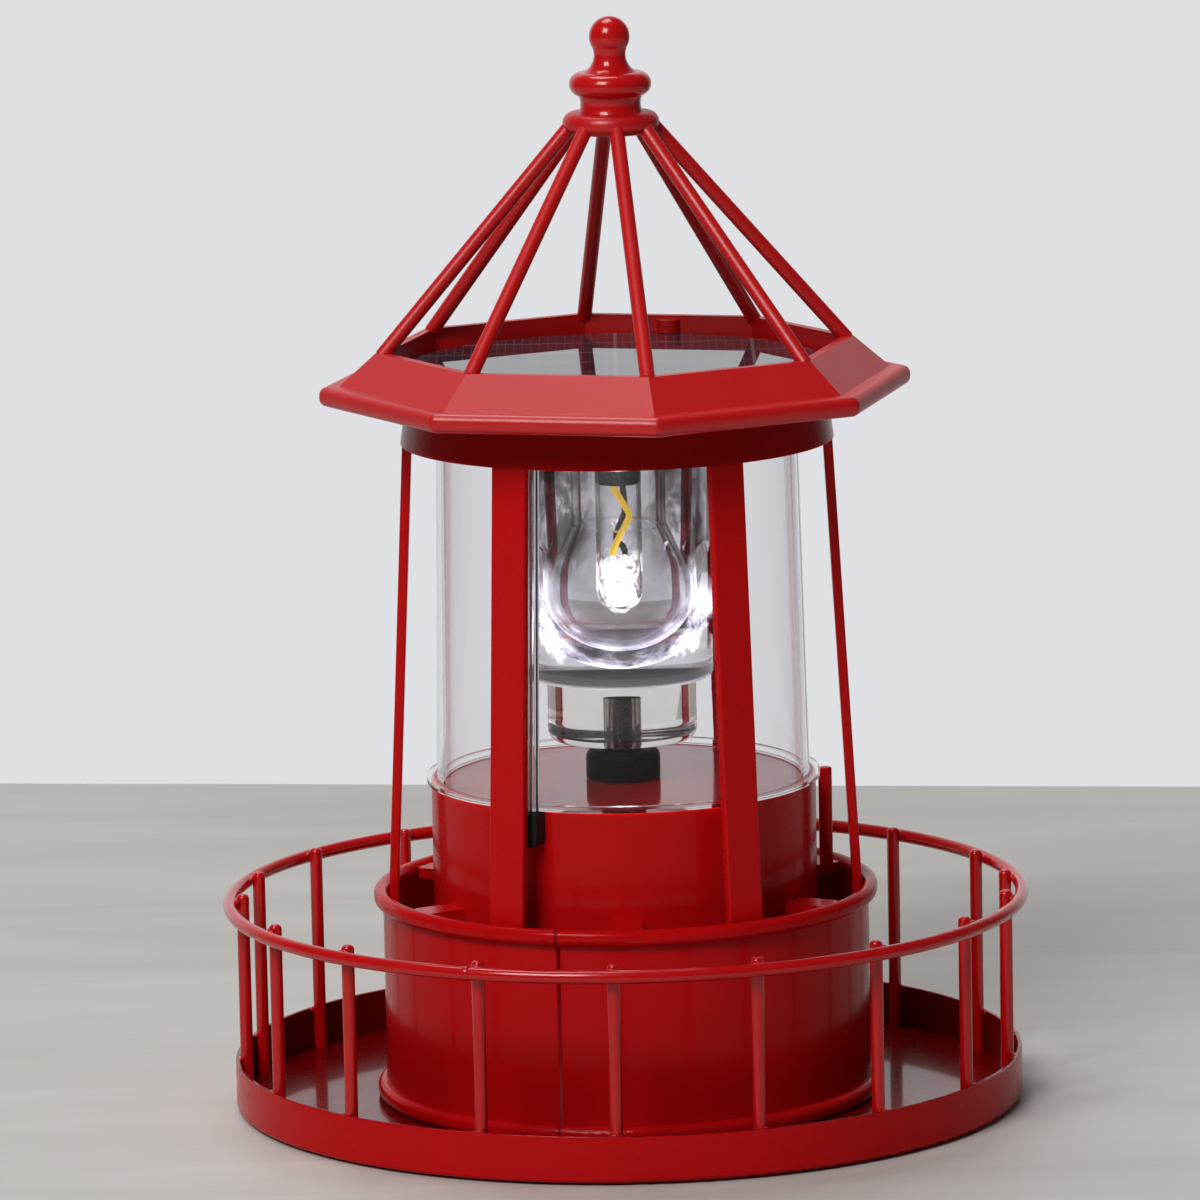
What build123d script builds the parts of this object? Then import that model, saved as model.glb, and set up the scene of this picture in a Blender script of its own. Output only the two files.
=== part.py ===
from build123d import *
import math
import os

# Solar lighthouse lamp. Millimetres, +Z up, front towards -Y, origin under the middle of the base.
# An azimuth is counted from the front towards +X, in degrees.

# Base pan and gallery
PAN_RADIUS = 74.5
RIM_HEIGHT = 8.8
PAN_SHEET = 0.9
EMBOSS_DEPTH = 2.5
EMBOSS_GAP = 0.7
CUP_SEAT = 3.75
PAN_CORNER_SHARE = 0.9
RIM_ROUND_SHARE = 0.3
BALUSTER_AZIMUTHS = (
    -2.0, 19.0, 39.0, 59.8, 80.0, 95.5, 111.5, 133.8, 154.5, 175.2, 195.8, 216.5, 235.8, 255.5, 272.2, 295.8, 315.0,
    338.0
)
BALUSTER_WIRE = 2.4
BALUSTER_ROUND_SHARE = 0.35
BALUSTER_RISE = 2.0
RAIL_WIRE = 2.5
RAIL_HEIGHT = 38.4
WELD_GAP = 0.02

# Drum
DRUM_GAP = 9.65
DRUM_SHEET = 0.7
DRUM_TOP = 41.1
BEAD_WIDTH = 2.7
BEAD_HEIGHT = 3.2
BEAD_REACH = 1.7

# Cup of the works
CUP_RADIUS = 36.25
CUP_WALL = 1.6
CUP_FLOOR = 2.0
EDGE_SHARE = 0.3
PLATE = 2.0
PLATE_DROP = 0.2
FIT = 0.1
LEDGE = 1.5
LUG_COUNT = 6
LUG_DROP = 0.7
LUG_THICK = 2.0
LUG_WIDTH = 6.0
PEG_LUG = 2
PEG_LUG_WIDTH = 11.0
LUG_GAP = 0.6
PEG_AZIMUTH = 115.0
PEG_RADIUS = 1.3
PEG_INSET = 2.5
PEG_DROP = 2.4
COLUMN_AZIMUTHS = (190.0, 305.0, 55.0)
COLUMN_RADIUS = 3.2
COLUMN_SET = 2.65
COLUMN_BORE = 1.1
BOSS_RADIUS = 3.0
BOSS_HEIGHT = 10.6
BASE_SCREW_AZIMUTHS = (30.0, 150.0, 270.0)
BASE_SCREW_SET = 1.15
BASE_SCREW_HOLE = 1.5
BASE_SCREW_SHANK = 1.2
BASE_SCREW_LENGTH = 9.0
BASE_SCREW_HEAD = 2.5
BASE_SCREW_HEAD_HEIGHT = 1.6
SCREW_ROUND_SHARE = 0.4
SCREW_SLOT_SHARE = 0.25

# Lantern
GLASS_FOOT_SET = 1.05
GLASS_DRAFT = 1.3
GLASS_WALL = 1.3
GLASS_FLANGE_REACH = 0.85
GLASS_FLANGE = 1.0
LENS_HEADROOM = 4.9
BAND_HEIGHT = 7.8
BAND_FOOT_WALL = 2.25
BAND_HEAD_WALL = 1.2
BAND_LEDGE_WIDTH = 2.2
BAND_LEDGE = 1.4
CEILING = 1.6
POST_WIDTH = 7.2
POST_THICK = 1.8
POST_FIRST = 30.0
POST_ROUND_SHARE = 0.25
POST_FOOT_GAP = 0.3
FOOT_RING_GAP = 0.6
FOOT_RING = 2.0
FLANGE_GAP = 0.7
LEAD_ROOM = 2.3
LEAD_RADIUS = 1.0
LEAD_AZIMUTH = -26.0
LEAD_GAP = 0.15
LEAD_TOP_GAP = 0.08
LEAD_FOOT_GAP = 0.25
LEAD_TOP_RISE = 1.6
LEAD_FOOT_DROP = 4.9
LEAD_BEND = 2.3
LEAD_TAIL = 1.4
GROMMET_WIDTH = 2.7
GROMMET_HEIGHT = 6.4
GROMMET_REACH = 1.75
GROMMET_FOOT_SHARE = 0.45
GROMMET_FRONT_SHARE = 0.2
STEM_RADIUS = 1.3

# Roof
LAMP_HEIGHT = 205.0
EAVE_SIDES = 8
EAVE_TURN = 7.6
EAVE_OVER = 4.45
LIP_GAP = 0.3
LIP_HEIGHT = 3.7
LIP_REACH = 2.1
LIP_ROUND = 1.6
SLOPE_RUN = 8.8
SLOPE_RISE = 6.0
EAVE_WALL = 1.9
EAVE_SKIN = 2.6
EAVE_FLOOR = 4.1
EAVE_BOSS = 2.3
PANEL_GAP = 0.71
PANEL_THICK = 2.6
PANEL_LAP = 4.7
PANEL_ROUND_SHARE = 0.15
RIB_RADIUS = 1.4
RIB_ROOT = 4.0
RIB_OVERLAP = 2.0
RIB_INSET_SHARE = 1.2
RIB_EDGE = 0.15
RIB_HEAD = 7.2
HUB_RADIUS = 9.0
HUB_HEIGHT = 4.0
HUB_ROUND = 1.9
SPIGOT_RADIUS = 3.0
FINIAL_FOOT = 6.0
FINIAL_WAIST = 5.65
FINIAL_WAIST_RISE = 1.3
FINIAL_BEAD = 7.7
FINIAL_BEAD_RISE = 5.2
FINIAL_BEAD_HALF = 2.2
FINIAL_SHOULDER = 5.0
FINIAL_NECK = 3.0
FINIAL_NECK_DROP = 3.8
FINIAL_BALL_FOOT = 3.25
BALL_RADIUS = 3.8
BALL_RISE = 14.0

# Lamp and lens
SHAFT_RADIUS = 1.5
SHAFT_DROP = 3.5
RUNNING = 0.05
COUPLING_RADIUS = 7.0
COUPLING_HEIGHT = 5.4
COUPLING_LIFT = 0.3
COUPLING_ROUND = 1.6
COUPLING_BOSS = 1.9
CARRIER_RADIUS = 14.0
CARRIER_HEIGHT = 11.9
CARRIER_ROUND = 2.0
CARRIER_BORE = 2.4
LENS_RADIUS = 17.3
LENS_HEIGHT = 41.5
LENS_WALL = 2.1
LENS_BASE = 2.1
LENS_ROUND = 1.2
LENS_GAP = 1.0
BULLSEYE_RADIUS = 9.0
BULLSEYE_RISE = 2.2
BULLSEYE_DEPTH = 4.3
BULLSEYE_CURVE = 22.0
GLOBE_RADIUS = 13.4
GLOBE_NECK = 8.9
GLOBE_SHOULDER = 12.0
GLOBE_NECK_HEIGHT = 12.5
GLOBE_WALL = 1.0
TUBE_RADIUS = 4.35
TUBE_WALL = 0.6
TUBE_DROP = 4.3
BUSH_LENGTH = 9.9
LED_RADIUS = 2.5
LED_FLANGE = 2.9
LED_BODY = 5.5
LED_LEG = 0.3
LED_LEG_LENGTH = 1.8
LEG_X = 1.1
LEG_Y = 0.75
WIRE_RADIUS = 0.6
WIRE_BEND = 1.8
WIRE_RISE = 1.2
WIRE_TOP_X = 0.9
WIRE_LEAD = 0.7
WIRE_HOLE = 2.1
YELLOW_KINK = (2.2, 0.6)
BLACK_LOW_KINK = (-0.9, 0.24)
BLACK_KINK = (1.3, 0.64)

# Drive
MODULE = 0.5
PINION_TEETH = 12
WHEEL_TEETH = 54
PRESSURE = math.radians(20.0)
ADDENDUM = 0.75
DEDENDUM = 1.25
BACKLASH = 0.06
GEAR_FACE = 3.0
GEAR_STEP = 1.5
IDLER_LIFT = 2.3
IDLER_HUB = 2.2
PINION_OVERLAP = 0.7
IDLER_OVERLAP = 1.2
GEAR_HEADROOM = 2.8
IDLER_TURN = 90.0
HALF_TURN = 180.0
MOTOR_TURN = -20.0
MOTOR_RADIUS = 12.2
MOTOR_LENGTH = 12.4
MOTOR_LIFT = 1.1
MOTOR_BOSS = 3.0
MOTOR_SCREW_OFFSET = 8.5
MOTOR_SCREW_SHANK = 0.9
MOTOR_SCREW_LENGTH = 4.0
MOTOR_SCREW_HEAD = 1.7
MOTOR_SCREW_HEAD_HEIGHT = 1.1
PLATE_SCREW_HOLE = 1.3
PLATE_SCREW_HEAD = 2.2
PLATE_SCREW_HEAD_HEIGHT = 1.5
PIN_RADIUS = 1.0
BUSH_RADIUS = 3.0
BUSH_FLANGE = 4.2
BUSH_FLANGE_THICK = 1.0

# Battery, board and switch
CELL_RADIUS = 7.25
CELL_LENGTH = 50.5
CELL_LIFT = 0.3
NUB_RADIUS = 2.75
NUB_LENGTH = 1.2
CONTACT = 0.5
CONTACT_WIDTH = 9.0
END_WALL = 1.4
BAY_GAP = 0.6
BOARD_LIFT = 3.8
BOARD = 1.2
CHIP_LENGTH = 6.0
CHIP_WIDTH = 4.0
CHIP_HEIGHT = 1.6
COIL_RADIUS = 3.0
COIL_HEIGHT = 4.0
COIL_X = -14.0
CAPACITOR_RADIUS = 2.5
CAPACITOR_HEIGHT = 4.5
CAPACITOR_X = 12.0
DOOR_GAP = 0.2
DOOR_SHANK = 0.9
DOOR_SHANK_LENGTH = 5.0
DOOR_HEAD = 1.9
DOOR_HEAD_HEIGHT = 1.1
TAB_RADIUS = 3.2
TAB_SET = 3.25
TAB_BLOCK_WIDTH = 11.52
TAB_BLOCK_INNER = 2.4
SWITCH_OFFSET = 17.0
SWITCH_TRAVEL = 2.0
SWITCH_LENGTH = 9.0
SWITCH_HEIGHT = 4.2
SWITCH_WALL = 0.5
KNOB_LENGTH = 2.0
KNOB_WIDTH = 1.8
KNOB_REACH = 1.8
KNOB_PLATE = 0.8
KNOB_FLANGE = 0.5
SLIDE_GAP = 0.3

# Heights, from the pan up through the works and the lantern to the roof
EMBOSS_TOP = EMBOSS_DEPTH + PAN_SHEET
CUP_BOTTOM = EMBOSS_TOP
FLOOR_TOP = CUP_BOTTOM + CUP_FLOOR
FOOT_RING_TOP = EMBOSS_TOP + FOOT_RING
CELL_HEIGHT = FLOOR_TOP + CELL_LIFT + CELL_RADIUS
BOARD_BOTTOM = CELL_HEIGHT + CELL_RADIUS + BOARD_LIFT
BOARD_TOP = BOARD_BOTTOM + BOARD
MOTOR_BOTTOM = BOARD_TOP + CAPACITOR_HEIGHT + MOTOR_LIFT
GEAR_PLATE_BOTTOM = MOTOR_BOTTOM + MOTOR_LENGTH
GEAR_PLATE_TOP = GEAR_PLATE_BOTTOM + PLATE
WHEEL_BOTTOM = GEAR_PLATE_TOP + IDLER_LIFT
WHEEL_TOP = WHEEL_BOTTOM + GEAR_FACE
OUTPUT_BOTTOM = WHEEL_TOP + GEAR_STEP
OUTPUT_TOP = OUTPUT_BOTTOM + GEAR_FACE
IDLER_TOP = OUTPUT_TOP + IDLER_OVERLAP
TOP_PLATE_BOTTOM = IDLER_TOP + GEAR_HEADROOM
TOP_PLATE_TOP = TOP_PLATE_BOTTOM + PLATE
CUP_TOP = TOP_PLATE_TOP + PLATE_DROP
COUPLING_BOTTOM = TOP_PLATE_TOP + COUPLING_LIFT
COUPLING_TOP = COUPLING_BOTTOM + COUPLING_HEIGHT
CARRIER_BOTTOM = COUPLING_TOP + COUPLING_BOSS
LENS_BOTTOM = CARRIER_BOTTOM + CARRIER_HEIGHT
SHAFT_TOP = LENS_BOTTOM - SHAFT_DROP
LENS_TOP = LENS_BOTTOM + LENS_HEIGHT
GLOBE_CENTRE = LENS_BOTTOM + LENS_BASE + LENS_GAP + GLOBE_RADIUS
GLASS_TOP = LENS_TOP + LENS_HEADROOM
CEILING_BOTTOM = GLASS_TOP + FIT
CEILING_TOP = CEILING_BOTTOM + CEILING
BAND_BOTTOM = CEILING_BOTTOM - BAND_LEDGE
BAND_TOP = BAND_BOTTOM + BAND_HEIGHT
LIP_BOTTOM = BAND_TOP + LIP_GAP
LIP_TOP = LIP_BOTTOM + LIP_HEIGHT
SLOPE_TOP = LIP_TOP + SLOPE_RISE
PANEL_BOTTOM = BAND_TOP + EAVE_FLOOR
PANEL_TOP = PANEL_BOTTOM + PANEL_THICK
BALL_CENTRE = LAMP_HEIGHT - BALL_RADIUS
HUB_TOP = BALL_CENTRE - BALL_RISE
HUB_BOTTOM = HUB_TOP - HUB_HEIGHT
RIB_HEIGHT = HUB_BOTTOM + RIB_OVERLAP - SLOPE_TOP
LUG_TOP = DRUM_TOP - LUG_DROP
LEAD_FOOT = CUP_TOP - LEAD_FOOT_DROP
BUSH_BOTTOM = CEILING_BOTTOM - BUSH_LENGTH

# Radii and offsets, from the cup outwards
CUP_INNER = CUP_RADIUS - CUP_WALL
DRUM_RADIUS = CUP_RADIUS + DRUM_GAP
BEAD_CENTRE = DRUM_RADIUS + BEAD_REACH - BEAD_WIDTH / 2
BEAD_INNER = BEAD_CENTRE - BEAD_WIDTH / 2
EMBOSS_RADIUS = BEAD_INNER - EMBOSS_GAP
PAN_HOLE_RADIUS = CUP_RADIUS - CUP_SEAT
POST_FOOT_OUTER = BEAD_INNER - POST_FOOT_GAP
POST_FOOT_INNER = POST_FOOT_OUTER - POST_THICK
BASE_SCREW_OFFSET = CUP_RADIUS + BASE_SCREW_SET
FOOT_RING_INNER = BASE_SCREW_OFFSET + BOSS_RADIUS + FOOT_RING_GAP
FLANGE_RADIUS = POST_FOOT_INNER - FLANGE_GAP
COLUMN_OFFSET = CUP_INNER - COLUMN_SET
PEG_OFFSET = BEAD_INNER - PEG_INSET
GLASS_FOOT_RADIUS = CUP_RADIUS - GLASS_FOOT_SET
GLASS_TOP_RADIUS = GLASS_FOOT_RADIUS - GLASS_DRAFT
GLASS_FLANGE_RADIUS = CUP_RADIUS + GLASS_FLANGE_REACH
BAND_LEDGE_INNER = GLASS_TOP_RADIUS + LEAD_ROOM
BAND_INNER = BAND_LEDGE_INNER + BAND_LEDGE_WIDTH
BAND_FOOT_RADIUS = BAND_INNER + BAND_FOOT_WALL
SLOPE_TOP_RADIUS = BAND_FOOT_RADIUS + EAVE_OVER
SLOPE_FOOT_RADIUS = SLOPE_TOP_RADIUS + SLOPE_RUN
LIP_RADIUS = SLOPE_FOOT_RADIUS + LIP_REACH
CENTRE_DISTANCE = MODULE * (PINION_TEETH + WHEEL_TEETH) / 2
BAY_LENGTH = CELL_LENGTH + 2 * CONTACT
BAY_WIDTH = 2 * (CELL_RADIUS + BAY_GAP)
TAB_OFFSET = CELL_RADIUS + TAB_SET
SLOT_WIDTH = KNOB_WIDTH + 2 * SLIDE_GAP
SLOT_LENGTH = KNOB_LENGTH + SWITCH_TRAVEL + 2 * SLIDE_GAP
CAVITY_WIDTH = KNOB_WIDTH + 2 * (KNOB_FLANGE + SLIDE_GAP)
SWITCH_WIDTH = CAVITY_WIDTH + 2 * SWITCH_WALL

nodes = {}


def turned(outline):
    """Solid turned about the vertical axis from a closed outline of radius and height."""
    return revolve(make_face(Plane.XZ * outline), Axis.Z)


def turned_points(*points):
    """Solid turned about the vertical axis from straight lines between points."""
    return turned(Polyline(*points, close=True))


def rod(radius, bottom, top, x=0.0, y=0.0):
    """Upright round bar."""
    return Pos(x, y, (bottom + top) / 2) * Cylinder(radius, top - bottom)


def ring(outer, inner, bottom, top):
    """Upright round ring about the vertical axis."""
    return rod(outer, bottom, top) - rod(inner, bottom, top)


def block(x0, x1, y0, y1, bottom, top):
    """Box between its limits."""
    centre = Pos((x0 + x1) / 2, (y0 + y1) / 2, (bottom + top) / 2)
    return centre * Box(x1 - x0, y1 - y0, top - bottom)


def turned_to(piece, azimuth):
    """The piece, modelled at the front, moved round to an azimuth."""
    return Rot(0, 0, azimuth) * piece


def place(radius, azimuth):
    """X and Y of a radius and azimuth."""
    angle = math.radians(azimuth)
    return radius * math.sin(angle), -radius * math.cos(angle)


def top_edges(piece):
    """Edges at the highest level of a piece."""
    return piece.edges().group_by(Axis.Z)[-1]


def bottom_edges(piece):
    """Edges at the lowest level of a piece."""
    return piece.edges().group_by(Axis.Z)[0]


def screw(head_radius, head_height, shank_radius, shank_length):
    """Screw with its head seat at the origin, its shank down and a slot in its head."""
    head = fillet(top_edges(rod(head_radius, 0, head_height)), head_height * SCREW_ROUND_SHARE)
    slot_half_width = shank_radius * SCREW_SLOT_SHARE
    slot = block(-head_radius, head_radius, -slot_half_width, slot_half_width, head_height / 2, head_height)
    return head - slot + rod(shank_radius, -shank_length, 0)


def wire(points, radius, bend):
    """Round wire along straight runs joined by arcs."""
    path = FilletPolyline(*points, radius=bend)
    section = Plane(path @ 0, z_dir=path % 0) * Circle(radius)
    return sweep(section, path=path)


# Base pan: pressed sheet with an upturned rim and a raised middle
base_pan = turned_points(
    (PAN_HOLE_RADIUS, EMBOSS_DEPTH),
    (EMBOSS_RADIUS - PAN_SHEET, EMBOSS_DEPTH),
    (EMBOSS_RADIUS - PAN_SHEET, 0),
    (PAN_RADIUS, 0),
    (PAN_RADIUS, RIM_HEIGHT),
    (PAN_RADIUS - PAN_SHEET, RIM_HEIGHT),
    (PAN_RADIUS - PAN_SHEET, PAN_SHEET),
    (EMBOSS_RADIUS, PAN_SHEET),
    (EMBOSS_RADIUS, EMBOSS_TOP),
    (PAN_HOLE_RADIUS, EMBOSS_TOP),
)
pan_corner = base_pan.edges().filter_by(
    lambda edge: abs(edge.center().Z) < WELD_GAP and edge.length > 2 * math.pi * (PAN_RADIUS - PAN_SHEET)
)
base_pan = fillet(pan_corner, PAN_SHEET * PAN_CORNER_SHARE)
base_pan = fillet(top_edges(base_pan), PAN_SHEET * RIM_ROUND_SHARE)
for azimuth in BASE_SCREW_AZIMUTHS:
    x, y = place(BASE_SCREW_OFFSET, azimuth)
    base_pan -= rod(BASE_SCREW_HOLE, 0, CUP_BOTTOM, x, y)
nodes["base_pan"] = base_pan

# Balusters: straight wires welded inside the rim by hand, so their spacing is uneven
baluster_offset = PAN_RADIUS - PAN_SHEET - BALUSTER_WIRE / 2 - WELD_GAP
baluster = rod(BALUSTER_WIRE / 2, PAN_SHEET, RAIL_HEIGHT + BALUSTER_RISE, 0, -baluster_offset)
baluster = fillet(top_edges(baluster), BALUSTER_WIRE * BALUSTER_ROUND_SHARE)
for index, azimuth in enumerate(BALUSTER_AZIMUTHS):
    nodes[f"baluster_{index + 1:02d}"] = turned_to(baluster, azimuth)

# Gallery rail: ring of wire welded outside the balusters
rail_offset = baluster_offset + (BALUSTER_WIRE + RAIL_WIRE) / 2 + WELD_GAP
nodes["gallery_rail"] = Pos(0, 0, RAIL_HEIGHT) * Torus(rail_offset, RAIL_WIRE / 2)

# Drum: rolled sheet with a bead at each edge
bead = SlotOverall(BEAD_HEIGHT, BEAD_WIDTH, rotation=90)
low_bead = PAN_SHEET + BEAD_HEIGHT / 2
high_bead = DRUM_TOP - BEAD_HEIGHT / 2
drum_wall = Pos(DRUM_RADIUS - DRUM_SHEET / 2, (low_bead + high_bead) / 2) * Rectangle(
    DRUM_SHEET, high_bead - low_bead
)
drum_section = drum_wall + Pos(BEAD_CENTRE, low_bead) * bead + Pos(BEAD_CENTRE, high_bead) * bead
nodes["drum"] = revolve(Plane.XZ * drum_section, Axis.Z)

# Solar lead: from above the ceiling, down outside the glass, through the grommet into the cup
lead_top_offset = GLASS_TOP_RADIUS + LEAD_RADIUS + LEAD_TOP_GAP
lead_foot_offset = GLASS_FLANGE_RADIUS + LEAD_RADIUS + LEAD_FOOT_GAP
lead_points = [
    (*place(lead_top_offset, LEAD_AZIMUTH), CEILING_TOP + LEAD_TOP_RISE),
    (*place(lead_foot_offset, LEAD_AZIMUTH), LEAD_FOOT),
    (*place(CUP_INNER - LEAD_TAIL, LEAD_AZIMUTH), LEAD_FOOT),
]
nodes["solar_lead"] = wire(lead_points, LEAD_RADIUS, LEAD_BEND)
lead_way = wire(lead_points, LEAD_RADIUS + LEAD_GAP, LEAD_BEND)

# Lead grommet: black rubber block on the cup with a stem through its wall
grommet_bottom = CUP_TOP - GROMMET_HEIGHT
grommet_outer = lead_foot_offset + GROMMET_REACH
grommet = block(
    -GROMMET_WIDTH / 2, GROMMET_WIDTH / 2, -grommet_outer, -CUP_INNER, grommet_bottom, CUP_TOP - WELD_GAP
)
grommet = fillet(grommet.edges().filter_by(Axis.Y).group_by(Axis.Z)[0], GROMMET_WIDTH * GROMMET_FOOT_SHARE)
grommet = fillet(grommet.edges().filter_by(Axis.Z).group_by(Axis.Y)[0], GROMMET_WIDTH * GROMMET_FRONT_SHARE)
grommet -= rod(CUP_RADIUS, grommet_bottom, CUP_TOP)
grommet_stem = Pos(0, 0, LEAD_FOOT) * Rot(90, 0, 0) * rod(STEM_RADIUS, CUP_INNER - LEDGE / 2, CUP_RADIUS + LEDGE)
grommet = turned_to(grommet + grommet_stem, LEAD_AZIMUTH)
nodes["lead_grommet"] = grommet - wire(lead_points, LEAD_RADIUS, LEAD_BEND)
stem_way = turned_to(grommet_stem, LEAD_AZIMUTH)

# Cup: moulded housing with a floor, six lugs, screw columns and the battery bay
door_outline = Rectangle(BAY_LENGTH, BAY_WIDTH) + Pos(0, TAB_OFFSET) * Circle(TAB_RADIUS)
cup = rod(CUP_RADIUS, CUP_BOTTOM, CUP_TOP) - rod(CUP_INNER, FLOOR_TOP, CUP_TOP)
cup += ring(CUP_INNER + LEDGE / 2, CUP_INNER - LEDGE, TOP_PLATE_BOTTOM - LEDGE, TOP_PLATE_BOTTOM)
cup += ring(FLANGE_RADIUS, CUP_INNER + LEDGE / 2, FOOT_RING_TOP, FOOT_RING_TOP + CUP_FLOOR)
for index in range(LUG_COUNT):
    lug_width = PEG_LUG_WIDTH if index == PEG_LUG else LUG_WIDTH
    lug = block(
        -lug_width / 2, lug_width / 2, LUG_GAP - BEAD_INNER, -CUP_INNER - LEDGE / 2, LUG_TOP - LUG_THICK, LUG_TOP
    )
    lug = fillet(lug.edges().filter_by(Axis.Z).group_by(Axis.Y)[0], LUG_THICK / 2)
    cup += turned_to(lug, index * 360 / LUG_COUNT)
for azimuth in BASE_SCREW_AZIMUTHS:
    x, y = place(BASE_SCREW_OFFSET, azimuth)
    cup += rod(BOSS_RADIUS, CUP_BOTTOM, CUP_BOTTOM + BOSS_HEIGHT, x, y)
    cup -= rod(BASE_SCREW_SHANK, CUP_BOTTOM, CUP_BOTTOM + BASE_SCREW_LENGTH, x, y)
for azimuth in COLUMN_AZIMUTHS:
    x, y = place(COLUMN_OFFSET, azimuth)
    cup += rod(COLUMN_RADIUS, FLOOR_TOP - LEDGE / 2, GEAR_PLATE_BOTTOM, x, y)
    cup -= rod(COLUMN_BORE, GEAR_PLATE_BOTTOM - BASE_SCREW_LENGTH, GEAR_PLATE_BOTTOM, x, y)
for side in (-1, 1):
    wall_inner = side * BAY_LENGTH / 2
    wall_outer = wall_inner + side * END_WALL
    cup += block(
        min(wall_inner, wall_outer), max(wall_inner, wall_outer), -CELL_RADIUS, CELL_RADIUS,
        FLOOR_TOP - LEDGE / 2, BOARD_BOTTOM
    )
cup += block(
    -TAB_BLOCK_WIDTH / 2, TAB_BLOCK_WIDTH / 2, TAB_OFFSET - TAB_BLOCK_INNER, TAB_OFFSET + BOSS_RADIUS,
    FLOOR_TOP, FLOOR_TOP + DOOR_SHANK_LENGTH + LEDGE
)
door_way = extrude(Pos(0, 0, CUP_BOTTOM) * offset(door_outline, DOOR_GAP), CUP_FLOOR)
cup -= door_way
cup -= rod(DOOR_SHANK, FLOOR_TOP, FLOOR_TOP + DOOR_SHANK_LENGTH, 0, TAB_OFFSET)
slot_half = SLOT_LENGTH / 2
cup -= block(
    -slot_half, slot_half, -SWITCH_OFFSET - SLOT_WIDTH / 2, -SWITCH_OFFSET + SLOT_WIDTH / 2, CUP_BOTTOM, FLOOR_TOP
)
cup -= stem_way
cup = fillet(top_edges(cup), CUP_WALL * EDGE_SHARE)
nodes["cup"] = cup

# Locating peg: upright round peg standing on the lug at the back right
peg = rod(PEG_RADIUS, LUG_TOP, CUP_TOP - PEG_DROP, *place(PEG_OFFSET, PEG_AZIMUTH))
nodes["locating_peg"] = fillet(top_edges(peg), PEG_RADIUS * EDGE_SHARE)

# Base screws: three screws from below that hold the cup to the pan
base_screw = Rot(HALF_TURN, 0, 0) * screw(
    BASE_SCREW_HEAD, BASE_SCREW_HEAD_HEIGHT, BASE_SCREW_SHANK, BASE_SCREW_LENGTH
)
base_screws = []
for azimuth in BASE_SCREW_AZIMUTHS:
    x, y = place(BASE_SCREW_OFFSET, azimuth)
    base_screws.append(Pos(x, y, EMBOSS_DEPTH) * base_screw)
nodes["base_screws"] = Compound(base_screws)

# Battery door: flat plate in the floor of the cup with one screw
head_seat = CUP_BOTTOM + DOOR_HEAD_HEIGHT + FIT
door = extrude(Pos(0, 0, CUP_BOTTOM) * door_outline, CUP_FLOOR)
door -= rod(DOOR_HEAD + FIT, CUP_BOTTOM, head_seat, 0, TAB_OFFSET)
door -= rod(DOOR_SHANK + FIT, CUP_BOTTOM, FLOOR_TOP, 0, TAB_OFFSET)
nodes["battery_door"] = door
door_screw_length = FLOOR_TOP - head_seat + DOOR_SHANK_LENGTH - FIT
nodes["battery_door_screw"] = Pos(0, TAB_OFFSET, head_seat) * Rot(HALF_TURN, 0, 0) * screw(
    DOOR_HEAD, DOOR_HEAD_HEIGHT, DOOR_SHANK, door_screw_length
)

# Battery: one round cell lying across the cup, between two flat contacts
lying = Pos(0, 0, CELL_HEIGHT) * Rot(0, 90, 0)
cell = rod(CELL_RADIUS, -CELL_LENGTH / 2, CELL_LENGTH / 2 - NUB_LENGTH)
cell = fillet(top_edges(cell), NUB_LENGTH / 2)
cell += rod(NUB_RADIUS, CELL_LENGTH / 2 - NUB_LENGTH * 2, CELL_LENGTH / 2)
nodes["battery"] = lying * cell
contacts = []
for side in (-1, 1):
    near = side * CELL_LENGTH / 2
    far = near + side * CONTACT
    contacts.append(
        block(
            min(near, far), max(near, far), -CONTACT_WIDTH / 2, CONTACT_WIDTH / 2,
            FLOOR_TOP + LEDGE, CELL_HEIGHT + CELL_RADIUS
        )
    )
nodes["battery_contacts"] = Compound(contacts)

# Circuit board: lies on the end walls of the battery bay, with its larger components
board_length = BAY_LENGTH + 2 * END_WALL
board = block(-board_length / 2, board_length / 2, -CELL_RADIUS, CELL_RADIUS, BOARD_BOTTOM, BOARD_TOP)
board += block(
    -CHIP_LENGTH / 2, CHIP_LENGTH / 2, -CHIP_WIDTH / 2, CHIP_WIDTH / 2, BOARD_TOP, BOARD_TOP + CHIP_HEIGHT
)
board += rod(COIL_RADIUS, BOARD_TOP, BOARD_TOP + COIL_HEIGHT, COIL_X)
board += rod(CAPACITOR_RADIUS, BOARD_TOP, BOARD_TOP + CAPACITOR_HEIGHT, CAPACITOR_X)
nodes["circuit_board"] = board

# Slide switch: body on the floor of the cup, knob through the slot below it
knob_top = FLOOR_TOP + KNOB_PLATE + FIT
knob_x = -SWITCH_TRAVEL / 2
cavity_half = slot_half + KNOB_FLANGE
switch_body = block(
    -SWITCH_LENGTH / 2, SWITCH_LENGTH / 2, -SWITCH_OFFSET - SWITCH_WIDTH / 2, -SWITCH_OFFSET + SWITCH_WIDTH / 2,
    FLOOR_TOP, FLOOR_TOP + SWITCH_HEIGHT
)
switch_body -= block(
    -cavity_half, cavity_half, -SWITCH_OFFSET - CAVITY_WIDTH / 2, -SWITCH_OFFSET + CAVITY_WIDTH / 2,
    FLOOR_TOP, knob_top + SLIDE_GAP
)
nodes["switch_body"] = switch_body
knob = block(
    knob_x - KNOB_LENGTH / 2, knob_x + KNOB_LENGTH / 2, -SWITCH_OFFSET - KNOB_WIDTH / 2,
    -SWITCH_OFFSET + KNOB_WIDTH / 2, CUP_BOTTOM - KNOB_REACH, knob_top
)
knob = fillet(bottom_edges(knob), KNOB_FLANGE / 2)
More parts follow.
